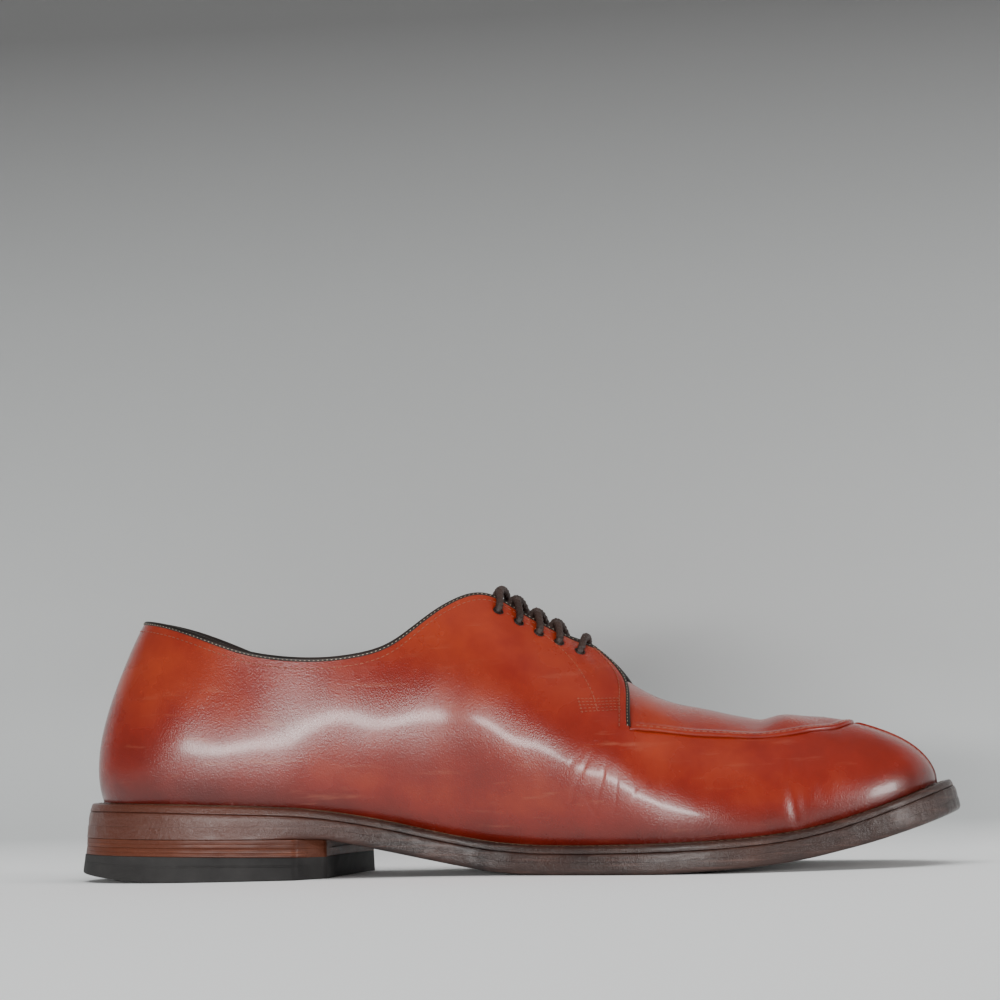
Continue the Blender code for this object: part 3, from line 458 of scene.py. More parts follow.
# Quarters and wings: a long piece of burnished red-brown calf for each side, from the heel seam
# to the toe seam, lasted down to the welt. Its upper corner is the lace facing, which stands on
# the vamp; ahead of that, its edge goes under the apron.
# each rib: its place from heel 0 to toe 1, its top point, its foot's inset, leans in degrees, and
# the reach of its handles and the length up to the apron seam, all in mm
RIB_COLUMNS = ("at", "top_x", "top_half", "top_z", "middle_y", "drop", "welt_width", "lean_medial",
               "lean_lateral", "base_reach", "top_lean", "top_reach", "seam")
RIBS = np.array([
    (0.000, 24.0, 0.0, 90.4, 0.0, 0.0, 10.0, 20, 20, 18, 30, 20, 40),
    (0.050, 26.5, 8.5, 90.3, 0.0, 0.0, 7.4, 19, 19, 18, 28, 20, 40),
    (0.100, 32.5, 15.5, 89.3, 0.0, 0.3, 5.6, 17, 17, 19, 24, 20, 40),
    (0.150, 41.0, 20.8, 87.0, 0.0, 0.8, 4.9, 15, 15, 20, 18, 20, 40),
    (0.200, 51.0, 24.5, 83.4, 0.0, 1.4, 4.6, 14, 14, 20, 12, 19, 40),
    (0.250, 62.5, 26.8, 79.2, 0.0, 2.2, 4.4, 14, 13, 21, 9, 19, 40),
    (0.300, 75.0, 28.1, 76.4, 0.0, 3.0, 4.3, 16, 12, 22, 7, 18, 40),
    (0.350, 89.0, 28.3, 75.2, 0.0, 3.4, 4.2, 20, 11, 23, 7, 18, 40),
    (0.400, 103.5, 27.0, 76.2, 0.0, 3.2, 4.1, 24, 11, 24, 11, 18, 41),
    (0.440, 115.5, 24.4, 79.8, 0.0, 2.6, 4.1, 26, 12, 26, 18, 20, 42),
    (0.480, 127.0, 20.0, 88.2, -0.2, 1.6, 4.2, 27, 14, 28, 30, 24, 43),
    (0.515, 138.0, 14.6, 95.0, -0.5, 0.6, 4.4, 26, 16, 30, 42, 28, 43),
    (0.540, 147.5, 9.4, 95.8, -0.8, 0.0, 4.5, 24, 18, 30, 52, 30, 43),
    (0.570, 160.5, 6.2, 87.0, -1.1, 0.0, 4.7, 22, 20, 29, 60, 32, 43),
    (0.600, 174.0, 5.4, 78.4, -1.5, 0.0, 4.9, 20, 20, 27, 67, 32, 42),
    (0.633, 188.8, 4.8, 69.0, -1.9, 0.0, 5.1, 18, 19, 25, 76, 31, 41),
    (0.660, 199.0, 0.0, 62.0, -2.2, 0.0, 5.2, 17, 18, 23, 84, 30, 41.3),
    (0.700, 211.5, 0.0, 56.4, -2.6, 0.0, 5.3, 15, 16, 21, 90, 29, 40.6),
    (0.750, 225.5, 0.0, 53.2, -2.9, 0.0, 5.4, 13, 14, 19, 90, 28, 39.6),
    (0.800, 237.5, 0.0, 50.9, -3.0, 0.0, 5.6, 11, 12, 18, 90, 27, 37.0),
    (0.850, 247.0, 0.0, 51.4, -3.0, 0.0, 6.0, 9, 10, 16, 90, 25, 35.0),
    (0.900, 254.0, 0.0, 51.0, -2.9, 0.0, 6.6, 6, 7, 14, 90, 23, 34.5),
    (0.950, 259.0, 0.0, 50.6, -2.8, 0.0, 7.7, 4, 4, 12, 90, 22, 36),
    (1.000, 262.0, 0.0, 50.3, -2.6, 0.0, 8.8, 4, 4, 11, 90, 21, 37),
])
rib_values = bending_curve(RIBS[:, 0], RIBS[:, 1:])
HANDS = {"medial": -1.0, "lateral": 1.0}
FACING_FRONT = 0.643
FACING_START = 0.50
THROAT = 0.633
FACING_STAND = 3.4
FACING_FOOT = 0.9
LEATHER = 1.3
# length of one side's outline from heel to toe, in mm
SOLE_ROUND = 330.0
# rows of the quarter's grid: at the apron seam's height, and at the topline
SEAM_ROW = 45
TOP_ROW = 100
EYELETS = (0.5490, 0.5642, 0.5794, 0.5946, 0.6098)
EYELET_INSET = 6.8


def wall_at(side, places, lengths, closed_throat=False):
    """Points of the last's surface: at each place, the rib's points at the given lengths.

    A rib is a cubic curve from the feather edge to the topline or crest; its handles leave at
    the base lean and arrive at the top lean. lengths(whole, seam) gives the rows in mm.
    closed_throat runs the ribs on to the middle line under the facings.
    """
    places = np.asarray(places, float)
    row = dict(zip(RIB_COLUMNS[1:], rib_values(places).T))
    ahead, behind = rib_values(places + 0.002), rib_values(places - 0.002)
    run = ahead[:, 0] - behind[:, 0]
    slope = np.where(np.abs(run) > 1e-6, (ahead - behind)[:, 2] / np.where(np.abs(run) > 1e-6, run, 1), 0)
    point, normal = EDGE[side](places)
    foot = point - normal * row["welt_width"][:, None]
    base = np.column_stack([foot, welt_height(foot[:, 0]) + 0.3])
    half = np.zeros(len(places)) if closed_throat else np.maximum(row["top_half"], 0) * (places < 0.66)
    drop = row["drop"] * (side == "lateral")
    top = np.column_stack([row["top_x"], row["middle_y"] + HANDS[side] * half, row["top_z"] - drop])
    lean, top_lean = np.radians(row["lean_" + side]), np.radians(np.minimum(row["top_lean"], 90.0))
    ends = np.maximum(1 - ease(places, 0.10, 0.30), ease(places, 0.68, 0.88))
    out = np.column_stack([normal[:, 0] * ends, normal[:, 1], np.zeros(len(places))])
    out /= np.linalg.norm(out, axis=1)[:, None]
    up = np.array([0.0, 0.0, 1.0])
    leave = out * np.sin(lean)[:, None] + up * np.cos(lean)[:, None]
    arrive = out * np.sin(top_lean)[:, None] - up * np.cos(top_lean)[:, None]
    arrive += up * (normal[:, 0] * slope * ease(places, THROAT, 0.70))[:, None]
    handles = np.stack([base, base + leave * row["base_reach"][:, None],
                        top + arrive * row["top_reach"][:, None], top], 1)

    def bezier(t):
        t = t[..., None]
        weights = ((1 - t) ** 3, 3 * t * (1 - t) ** 2, 3 * t**2 * (1 - t), t**3)
        return sum(w * handles[:, None, k] for k, w in enumerate(weights))

    fine = np.broadcast_to(np.linspace(0, 1, 97), (len(places), 97))
    gone = np.linalg.norm(np.diff(bezier(fine), axis=1), axis=2)
    gone = np.concatenate([np.zeros((len(places), 1)), np.cumsum(gone, axis=1)], 1)
    whole, seam = gone[:, -1:], row["seam"][:, None]
    wanted = lengths(whole, seam) + np.zeros((len(places), 1))
    spot = np.clip((gone[:, None, :] <= wanted[:, :, None]).sum(2) - 1, 0, 95)
    low, high = np.take_along_axis(gone, spot, 1), np.take_along_axis(gone, spot + 1, 1)
    return bezier((spot + (wanted - low) / (high - low)) / 96.0), wanted, whole, seam


def wall_normals(side, places, lengths, closed_throat=False):
    """Points, outward normals, and lengths of rows, whole ribs and seams."""
    nudge = 0.0015
    points, wanted, whole, seam = wall_at(side, places, lengths, closed_throat)
    after = wall_at(side, np.minimum(places + nudge, 1), lengths, closed_throat)[0]
    before = wall_at(side, np.maximum(places - nudge, 0), lengths, closed_throat)[0]
    normal = np.cross(after - before, np.gradient(points, axis=1)) * -HANDS[side]
    normal[(places == 0) | (places == 1), :, 1] = 0
    return points, normal / np.linalg.norm(normal, axis=2)[:, :, None], wanted, whole, seam


def crease(points, start, end, depth, width, bow):
    """A soft trough from start to end, seen from the side: a bell across, faded at both ends.

    start and end are (x, z) in mm; bow bends its middle forward by that many mm.
    """
    x, z = points[..., 0], points[..., 2]
    run = np.array(end, float) - np.array(start, float)
    length = np.hypot(*run)
    run = run / length
    along = ((x - start[0]) * run[0] + (z - start[1]) * run[1]) / length
    across = (x - start[0]) * run[1] - (z - start[1]) * run[0] - bow * 4 * along * (1 - along)
    fade = ease(along, -0.1, 0.25) * (1 - ease(along, 0.75, 1.1))
    return -depth * np.exp(-((across / width) ** 2)) * fade


# creases where the shoe bends: start, end, depth, width and bow, in mm
WALL_CREASES = (
    ((251.5, 43), (254.0, 13), 0.75, 2.6, 0.8),
    ((247.0, 40), (244.5, 24), 0.20, 2.2, 0.0),
    ((257.5, 42), (262.0, 22), 0.22, 2.6, -0.6),
    ((203.0, 45), (199.0, 24), 0.13, 0.9, 0.0),
    ((196.0, 48.8), (185.0, 43.0), 0.16, 0.5, -0.8),
    ((186.5, 42), (177.0, 22), 0.09, 0.6, 0.9),
    ((181.0, 40), (171.0, 26), 0.07, 0.5, 0.8),
    ((190.0, 38), (184.0, 16), 0.10, 0.7, -0.6),
    ((177.0, 38), (166.0, 24), 0.06, 0.6, 0.8),
    ((194.0, 36), (192.0, 18), 0.07, 0.6, -0.5),
    ((186.0, 30), (176.0, 12), 0.08, 0.7, 0.6),
    ((183.0, 26), (190.0, 14), 0.08, 0.8, 0.4),
    ((224.0, 36), (222.0, 20), 0.14, 3.6, 0.0),
    ((160.0, 40), (150.0, 28), 0.10, 2.6, 0.0),
)


def wall_relief(points, side):
    """Creases, the swelling beside the deepest one, and slow waves of worn leather."""
    x, z = points[..., 0], points[..., 2]
    height = sum(crease(points, *row) for row in WALL_CREASES) * (1.0 if side == "medial" else 0.85)
    belt = ease(z, 16, 30) * (1 - ease(z, 44, 52))
    height = height + 0.20 * np.exp(-(((x - 244.5) / 4.5) ** 2)) * belt
    height = height + 0.18 * np.exp(-(((x - 261.0) / 5.0) ** 2)) * belt
    waves = 0.09 * np.sin(x / 7.3 + z / 9.1 + 1.0) + 0.06 * np.sin(x / 4.1 - z / 6.3)
    return height + waves * ease(z, 14, 24)


def facing_stand(places, lengths, whole, seam, front):
    """How far the facing stands off the last: more towards its top and front, with a foot."""
    climb = ease((lengths - seam) / (whole - seam), 0, 1)
    above = ease(lengths - seam, -0.6, 1.6)
    stand = ease(places, FACING_START, THROAT) * FACING_STAND * climb
    return stand + ease(places - front, -0.022, -0.002) * FACING_FOOT * above


def on_wall(side, places, lengths, height=0.0, from_top=False):
    """Points and normals on a side's outer face, for pairs of a place and a length in mm.

    The length runs up the rib from the feather edge or, with from_top, down from the topline.
    """
    places = np.asarray(places, float)
    reach = np.asarray(lengths, float)[:, None] + np.array([[-1.0, 0.0, 1.0]])

    def rows(whole, seam):
        return whole - 2 * reach[:, 1:2] + reach if from_top else reach

    points, normals, wanted, whole, seam = wall_normals(side, places, rows)
    stand = facing_stand(places[:, None], wanted, whole, seam, FACING_FRONT)[:, 1]
    height = height + wall_relief(points, side)[:, 1] + stand * (places < FACING_FRONT)
    return points[:, 1] + normals[:, 1] * height[:, None], normals[:, 1]


def quarter_points(side):
    """Outer and inner grids of the quarter and its facing, from the heel to the facing's front.

    The front edge leans back and is rounded at its top corner: each row ends at its own place,
    so the front columns are read between those of a finer grid.
    """
    def rows(whole, seam):
        low = np.linspace(0, 1, SEAM_ROW + 1)[None, :] * seam
        above = np.linspace(0, 1, TOP_ROW - SEAM_ROW + 1)[None, 1:]
        return np.concatenate([low, seam + above * (whole - seam)], 1)

    def widened(values):
        wide = values if values.ndim == 3 else values[..., None]
        return np.broadcast_to(wide, (len(wide), TOP_ROW + 1, wide.shape[2]))

    back = np.unique(np.concatenate([np.linspace(0, 0.06, 26), np.linspace(0.06, 0.5, 140)]))
    fine = np.linspace(0.5, 0.66, 161)
    row = np.arange(TOP_ROW + 1)
    share = np.clip((row - SEAM_ROW) / (TOP_ROW - SEAM_ROW), 0, 1)
    front = FACING_FRONT + 0.012 * share - 0.034 * share**4 - 0.006 * share * (side == "lateral")
    columns = 0.5 + (np.linspace(0, 1, 120)[1:, None] ** 0.85) * (front - 0.5)[None, :]
    spot = (columns - 0.5) / 0.001
    left = np.clip(spot.astype(int), 0, len(fine) - 2)
    blend = (spot - left)[:, :, None]
    grids = []
    for behind, ahead in zip(wall_normals(side, back, rows), wall_normals(side, fine, rows)):
        behind, ahead = widened(behind), widened(ahead)
        between = ahead[left, row[None, :]] * (1 - blend) + ahead[left + 1, row[None, :]] * blend
        grids.append(np.concatenate([behind, between]))
    points, normals, wanted, whole, seam = grids
    places = np.concatenate([np.repeat(back[:, None], TOP_ROW + 1, 1), columns])
    stand = facing_stand(places, wanted[..., 0], whole[..., 0], seam[..., 0], front[None, :])
    stand = stand + wall_relief(points, side)
    heel_seam = 0.4 * np.exp(-((places * SOLE_ROUND / 0.8) ** 2))
    holes = on_wall(side, EYELETS, [EYELET_INSET] * 5, from_top=True)[0]
    outer = points + normals * stand[..., None]
    away = np.min(np.linalg.norm(outer[:, :, None] - holes[None, None], axis=3), axis=2)
    dimple = 0.9 * np.exp(-((away / 1.5) ** 4))
    return outer - normals * (heel_seam + dimple)[..., None], outer - normals * LEATHER, normals


def wing_points(side):
    """Outer and inner grids of a side ahead of the facing, up to and under the apron's edge."""
    def rows(whole, seam):
        low = np.linspace(0, 1, SEAM_ROW + 1)[None, :] * seam
        return np.concatenate([low, seam + np.array([[1.0, 2.0, 3.0]])], 1)

    places = np.concatenate([np.linspace(FACING_FRONT, 0.90, 150), np.linspace(0.90, 0.985, 60)[1:],
                             np.linspace(0.985, 1.0, 40)[1:]])
    points, normals, _, _, _ = wall_normals(side, places, rows)
    row = np.arange(SEAM_ROW + 4)[None, :]
    from_toe = (1 - places[:, None]) * SOLE_ROUND
    ridge = 0.7 * np.exp(-((from_toe / 1.3) ** 2)) - 0.3 * np.exp(-((from_toe / 0.3) ** 2))
    ridge = ridge - 0.22 * np.exp(-(((from_toe - 2.6) / 0.7) ** 2))
    height = wall_relief(points, side) - 0.75 * ease(row, SEAM_ROW - 1.5, SEAM_ROW + 1)
    height = height + ridge * (1 - ease(row, SEAM_ROW - 3, SEAM_ROW + 1))
    outer = points + normals * height[:, :, None]
    return outer, outer - normals * LEATHER, normals


def calf_leather():
    """Burnished calf: colour from two attributes, burnishing mixed with painted light and shade, and
    Wear; grain, scuffs and wax gloss.
    """
    made = bpy.data.materials.new("upper_leather")
    made.use_nodes = True
    nodes, links = made.node_tree.nodes, made.node_tree.links
    shader = nodes["Principled BSDF"]
    grain = nodes.new("ShaderNodeGroup")
    grain.node_tree = GRAIN
    grain.inputs["Cell Size"].default_value = 1500.0
    # burnishing mixed with painted light and shade, stored on the mesh
    burnish_light_and_shade = nodes.new("ShaderNodeAttribute")
    burnish_light_and_shade.attribute_name = "BurnishLightAndShade"
    wear = nodes.new("ShaderNodeAttribute")
    wear.attribute_name = "Wear"
    shade = nodes.new("ShaderNodeMath")
    shade.operation = "MULTIPLY_ADD"
    shade.inputs[1].default_value = 0.55
    colour = nodes.new("ShaderNodeValToRGB")
    stops = ((0.15, (0.036, 0.003, 0.002)), (0.42, (0.118, 0.007, 0.003)), (0.66, (0.215, 0.013, 0.005)),
             (0.95, (0.370, 0.042, 0.008)))
    ramp = colour.color_ramp
    ramp.elements[0].position, ramp.elements[0].color = stops[0][0], (*stops[0][1], 1)
    ramp.elements[1].position, ramp.elements[1].color = stops[-1][0], (*stops[-1][1], 1)
    for position, tone in stops[1:-1]:
        ramp.elements.new(position).color = (*tone, 1)
    streak = nodes.new("ShaderNodeTexNoise")
    streak.inputs["Scale"].default_value = 1.0
    streak.inputs["Detail"].default_value = 4.0
    streak.inputs["Roughness"].default_value = 0.6
    place = nodes.new("ShaderNodeTexCoord")
    stretch = nodes.new("ShaderNodeMapping")
    stretch.inputs["Scale"].default_value = (45.0, 45.0, 330.0)
    stretch.inputs["Rotation"].default_value = (0.0, 0.18, 0.0)
    rub = nodes.new("ShaderNodeMapRange")
    rub.inputs["From Min"].default_value = 0.60
    rub.inputs["From Max"].default_value = 0.80
    rubbed = nodes.new("ShaderNodeMath")
    rubbed.operation = "MULTIPLY"
    pale = nodes.new("ShaderNodeMix")
    pale.data_type = "RGBA"
    pale.inputs["B"].default_value = (0.42, 0.13, 0.07, 1)
    gloss = nodes.new("ShaderNodeMapRange")
    gloss.inputs["To Min"].default_value = 0.17
    gloss.inputs["To Max"].default_value = 0.36
    lift = nodes.new("ShaderNodeBump")
    lift.inputs["Strength"].default_value = 0.32
    lift.inputs["Distance"].default_value = 0.00022
    links.new(place.outputs["Object"], stretch.inputs["Vector"])
    links.new(stretch.outputs["Vector"], streak.inputs["Vector"])
    links.new(grain.outputs["Mottle"], shade.inputs[0])
    links.new(burnish_light_and_shade.outputs["Fac"], shade.inputs[2])
    links.new(shade.outputs[0], colour.inputs["Fac"])
    links.new(streak.outputs["Fac"], rub.inputs["Value"])
    links.new(rub.outputs["Result"], rubbed.inputs[0])
    links.new(wear.outputs["Fac"], rubbed.inputs[1])
    links.new(rubbed.outputs[0], pale.inputs["Factor"])
    links.new(colour.outputs["Color"], pale.inputs["A"])
    links.new(pale.outputs["Result"], shader.inputs["Base Color"])
    links.new(grain.outputs["Mottle"], gloss.inputs["Value"])
    links.new(gloss.outputs["Result"], shader.inputs["Roughness"])
    links.new(grain.outputs["Height"], lift.inputs["Height"])
    links.new(lift.outputs["Normal"], shader.inputs["Normal"])
    shader.inputs["Coat Weight"].default_value = 0.35
    shader.inputs["Coat Roughness"].default_value = 0.14
    return made


upper_leather = calf_leather()


def paint_calf(piece):
    """The first attribute is dark at the toe and heel from burnishing, dark by the welt as painted shade
    and light near the facings as painted light; Wear marks rubs.
    """
    mesh = piece.data
    at = np.empty(len(mesh.vertices) * 3)
    mesh.vertices.foreach_get("co", at)
    at = at.reshape(-1, 3) / MM - SHOE_PLACE
    x, y, z = at.T
    above_welt = z - welt_height(x)
    # painted shade: darker low on the wall, up to 14 mm above the welt
    burnish_light_and_shade = 0.14 + 0.24 * ease(above_welt, 0, 14)
    # painted light: lighter up by the facings and the top of the heel
    burnish_light_and_shade += 0.16 * np.exp(-(((x - 140) / 34) ** 2 + ((z - 82) / 20) ** 2))
    burnish_light_and_shade += 0.10 * np.exp(-(((x - 45) / 30) ** 2 + ((z - 72) / 22) ** 2))
    # painted highlight: a small lighter patch low on the vamp, where the highlight falls
    burnish_light_and_shade += 0.05 * np.exp(-(((x - 232) / 16) ** 2 + ((z - 38) / 9) ** 2))
    burnish_light_and_shade += 0.03 * np.sin(x / 21.0 + z / 13.0) + 0.03 * np.sin(x / 47.0 - z / 17.0)
    # burnishing: darker at the toe and heel ends
    burnish_light_and_shade -= 0.08 * ease(x, 292, 303) + 0.08 * (1 - ease(x, 4, 16))
    # darker round each eyelet hole
    for side in HANDS:
        holes = on_wall(side, EYELETS, [EYELET_INSET] * 5, from_top=True)[0]
        away = np.min(np.linalg.norm(at[:, None] - holes[None], axis=2), axis=1)
        burnish_light_and_shade -= 0.5 * np.exp(-((away / 1.7) ** 4))
    wear = 0.25 + 0.75 * np.exp(-(((x - 182) / 16) ** 2 + ((z - 30) / 20) ** 2))
    wear += 0.5 * np.exp(-(((x - 60) / 34) ** 2 + ((z - 46) / 20) ** 2))
    for name, values in (("BurnishLightAndShade", burnish_light_and_shade), ("Wear", np.clip(wear, 0, 1))):
        layer = mesh.attributes.new(name, "FLOAT", "POINT")
        layer.data.foreach_set("value", values.astype(np.float32))


for side in HANDS:
    for part_name, grids in (("quarter_", quarter_points), ("wing_", wing_points)):
        outer, inner, _ = grids(side)
        piece = put_mesh(part_name + side, *closed_plate(outer, inner), upper_leather, sharp=60)
        paint_calf(piece)
        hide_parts("upper")

# Apron: the calf panel over the toes and up under the facings, its edge turned into a raised
# bead and sewn down through the wings with a row of stitches in a shallow channel.
APRON_BACK = 0.612
BEAD_HEIGHT = 1.0


def apron_rows(whole, seam):
    """Rows from the apron's edge, close together over its bead, to the crest."""
    bead = np.array([[0.0, 0.12, 0.35, 0.7, 1.1, 1.6, 2.1, 2.5, 2.9, 3.4, 4.0, 4.8, 6.0, 7.5]])
    rest = np.linspace(0, 1, 34)[None, 1:]
    return np.concatenate([seam - 0.2 + bead, seam + 7.3 + rest * (whole - seam - 7.3)], 1)


def apron_height(across):
    """Height of the apron's outer face above the last: a round bead, a channel, then flat."""
    bead = BEAD_HEIGHT * np.sqrt(np.clip(1 - (1 - np.minimum(across, 1.0)) ** 2, 0, 1))
    flat = 0.35 + (BEAD_HEIGHT - 0.35) * (1 - ease(across, 0.9, 4.2))
    return np.minimum(bead, flat + 0.02) - 0.25 * np.exp(-(((across - 1.6) / 0.45) ** 2))


def apron_relief(points):
    """The dip across the crest over the ball, the hump ahead of it, and slow waves."""
    x, y = points[..., 0], points[..., 1]
    dip = -0.75 * np.exp(-(((x - 241.0 - 0.05 * y) / 4.0) ** 2))
    hump = 0.25 * np.exp(-(((x - 250.0 - 0.05 * y) / 5.0) ** 2))
    folds = 0.10 * np.sin(x / 3.1 + y / 11.0) * np.exp(-(((x - 222) / 20) ** 2))
    return dip + hump + folds + 0.08 * np.sin(x / 8.0 + y / 6.0)


def apron_grids(side, places):
    """Points, normals and distances in from the apron's edge, for one half of it."""
    points, normals, lengths, _, _ = wall_normals(side, places, apron_rows)
    joined, joined_normals, _, _, _ = wall_normals(side, places, apron_rows, closed_throat=True)
    blend = ease(np.arange(lengths.shape[1]), 4, lengths.shape[1] - 1)[None, :, None]
    return (points * (1 - blend) + joined * blend, normals * (1 - blend) + joined_normals * blend,
            lengths - lengths[:, :1])


def build_apron():
    """Both halves of the apron, welded along the crest and at the toe, as one closed plate."""
    places = np.concatenate([np.linspace(APRON_BACK, 0.90, 170), np.linspace(0.90, 1.0, 60)[1:]])
    halves = [apron_grids(side, places) for side in HANDS]
    for where in ((slice(None), -1), (-1, slice(None))):
        halves[0][1][where] = halves[1][1][where] = halves[0][1][where] + halves[1][1][where]
    verts, quads, start = [], [], 0
    for points, normals, across in halves:
        normals /= np.linalg.norm(normals, axis=2)[:, :, None]
        tuck = 2.0 * (1 - ease(places, 0.636, 0.652))[:, None]
        height = apron_height(across) - tuck + apron_relief(points) * ease(across, 1.0, 12.0)
        outer = points + normals * height[:, :, None]
        inner = points + normals * (np.minimum(height, 0.35) - 1.0)[:, :, None]
        inner[:, 0] = (points - normals * (0.1 + tuck[..., None]))[:, 0]
        columns, rows = outer.shape[:2]
        size = columns * rows
        grid = np.arange(size).reshape(columns, rows)
        faces = [grid_quads(columns, rows), grid_quads(columns, rows)[:, ::-1] + size]
        for edge in (grid[:, 0], grid[0, :]):
            faces.append(np.stack([edge[:-1], edge[1:], edge[1:] + size, edge[:-1] + size], -1))
        verts += [outer.reshape(-1, 3), inner.reshape(-1, 3)]
        quads += [q + start for q in faces]
        start += 2 * size
    piece = put_mesh("apron", np.concatenate(verts), np.concatenate(quads), upper_leather, sharp=50)
    paint_calf(piece)
    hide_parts("upper")


build_apron()

# Lining: thin tan leather inside the quarters and vamp, glued to the calf and turned out at the
# topline under the binding. It is one skin a little inside the outer leather.
LINING = 0.7
LININGS = (("quarter_lining_", np.linspace(0, 0.612, 120), False),
           ("vamp_lining_", np.linspace(0.60, 1, 70), True))


def lining_rows(whole, seam):
    """Rows from the feather edge to just under the topline, a steady distance apart."""
    return np.linspace(0, 1, 40)[None, :] * (whole - 0.5)


for side in HANDS:
    for part_name, places, closed in LININGS:
        points, normals, lengths, whole, seam = wall_normals(side, places, lining_rows, closed)
        depth = LEATHER + (0.95 if closed else 0.15)
        stand = 0 if closed else facing_stand(places[:, None], lengths, whole, seam, 1.0)
        outer = points + normals * (stand - depth + np.zeros_like(lengths))[..., None]
        plate = closed_plate(outer, outer - normals * LINING)
        piece = put_mesh(part_name + side, *plate, lining_leather, sharp=50)
        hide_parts("upper")

# Tongue: soft calf under both facings, sewn in under the vamp. It closes the gap that the laces
# cross, and stops at the top of the facings.
TONGUE_REACH = np.linspace(24.0, 0.0, 26)[None, :]
TONGUE_THICKNESS = 1.5


def tongue_rows(whole, seam):
    """Rows down from the topline or crest, as far as the tongue goes under a facing."""
    return whole - TONGUE_REACH


def build_tongue():
    """A plate that follows both facings' inner faces and arches over the gap between them."""
    places = np.linspace(0.533, 0.641, 60)
    halves = []
    for side in HANDS:
        points, normals = wall_normals(side, places, tongue_rows)[:2]
        share = ease(places, FACING_START, THROAT)[:, None]
        depth = share * 2.0 * ease(TONGUE_REACH, 30.0, 0.0) - 2.5
        halves.append((points + normals * depth[:, :, None],
                       points + normals * (depth - TONGUE_THICKNESS)[:, :, None]))
    plates = []
    for near, far in zip(*halves):
        middle = (near[:, -1:] + far[:, -1:]) / 2 + np.array([0, 0, 0.7])
        plates.append(np.concatenate([near, middle, far[:, ::-1]], 1))
    piece = put_mesh("tongue_leather", *closed_plate(*plates), upper_leather, sharp=50)
    paint_calf(piece)
    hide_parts("tongue")


build_tongue()

# Binding: a strip of dark leather folded over the raw edge along the topline, over the tops of
# the facings and down their front edges to the apron seam.
dark_leather = leather("dark_binding", (0.006, 0.004, 0.003), (0.022, 0.013, 0.010), 0.42, 1300.0)


def sweep(route, radius, sides=12):
    """Points and faces of a round cord: rings square to the route, closed by a cap at each end.

    radius is a number or a grid with a value for each point of each ring.
    """
    tangent = np.gradient(route, axis=0)
    tangent /= np.linalg.norm(tangent, axis=1)[:, None]
    first = np.cross(tangent, (0.13, 0.31, 0.94))
    first /= np.linalg.norm(first, axis=1)[:, None]
    second = np.cross(tangent, first)
    turn = np.linspace(0, 2 * np.pi, sides, endpoint=False)
    ring = np.cos(turn)[None, :, None] * first[:, None] + np.sin(turn)[None, :, None] * second[:, None]
    size = np.broadcast_to(np.asarray(radius, float), (len(route), sides))
    points = (route[:, None] + ring * size[..., None]).reshape(-1, 3)
    quads = grid_quads(len(route), sides, round_rows=True)
    half = np.arange(sides // 2 - 1)
    cap = np.stack([half, half + 1, sides - 2 - half, sides - 1 - half], -1)
    return points, np.concatenate([quads, cap, cap[:, ::-1] + (len(route) - 1) * sides])


def even_route(points, step, smooth=0):
    """The route with points a steady step apart, after an optional running average."""
    if smooth:
        window = np.hanning(smooth + 2)[1:-1]
        window /= window.sum()
        ends = smooth // 2
        padded = np.concatenate([np.repeat(points[:1], ends, 0), points, np.repeat(points[-1:], ends, 0)])
        points = np.stack([np.convolve(column, window, "valid") for column in padded.T], 1)
    run = np.concatenate([[0], np.cumsum(np.linalg.norm(np.diff(points[:, :3], axis=0), axis=1))])
    spots = np.linspace(0, run[-1], int(run[-1] / step) + 2)
    return np.stack([np.interp(spots, run, column) for column in points.T], 1)


def facing_edge(side, inset=0.0, stand=0.0):
    """Points and normals along a side's free edge, inset from it, in even steps.

    The edge runs along the topline from the heel and down the facing's front to the seam.
    """
    outer, inner, normals = quarter_points(side)
    middle = outer * 0.5 + inner * 0.5
    down = slice(-2, SEAM_ROW, -1)
    inward = np.concatenate([middle[:, -4] - middle[:, -1], (middle[-4] - middle[-1])[down]])
    inward /= np.linalg.norm(inward, axis=1)[:, None]
    points = np.concatenate([middle[:, -1], middle[-1, down]])
    normal = np.concatenate([normals[:, -1], normals[-1, down]])
    route = np.concatenate([points + inward * inset + normal * stand, normal], 1)
    return even_route(even_route(route, 0.4), 0.8, smooth=9)


BINDING_RADIUS = 0.98
for side in HANDS:
    route = facing_edge(side, inset=0.45)[:, :3]
    piece = put_mesh("binding_" + side, *sweep(route, BINDING_RADIUS), dark_leather, sharp=70)
    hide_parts("binding")

# Stitching: waxed thread in rows, each stitch a short raised grain that dips in at both ends.
# Pink-brown thread on the calf, cream on the binding.
calf_thread = leather("calf_thread", (0.20, 0.045, 0.022), (0.36, 0.11, 0.06), 0.55, 3000.0)
cream_thread = leather("cream_thread", (0.30, 0.24, 0.17), (0.50, 0.42, 0.32), 0.6, 3000.0)


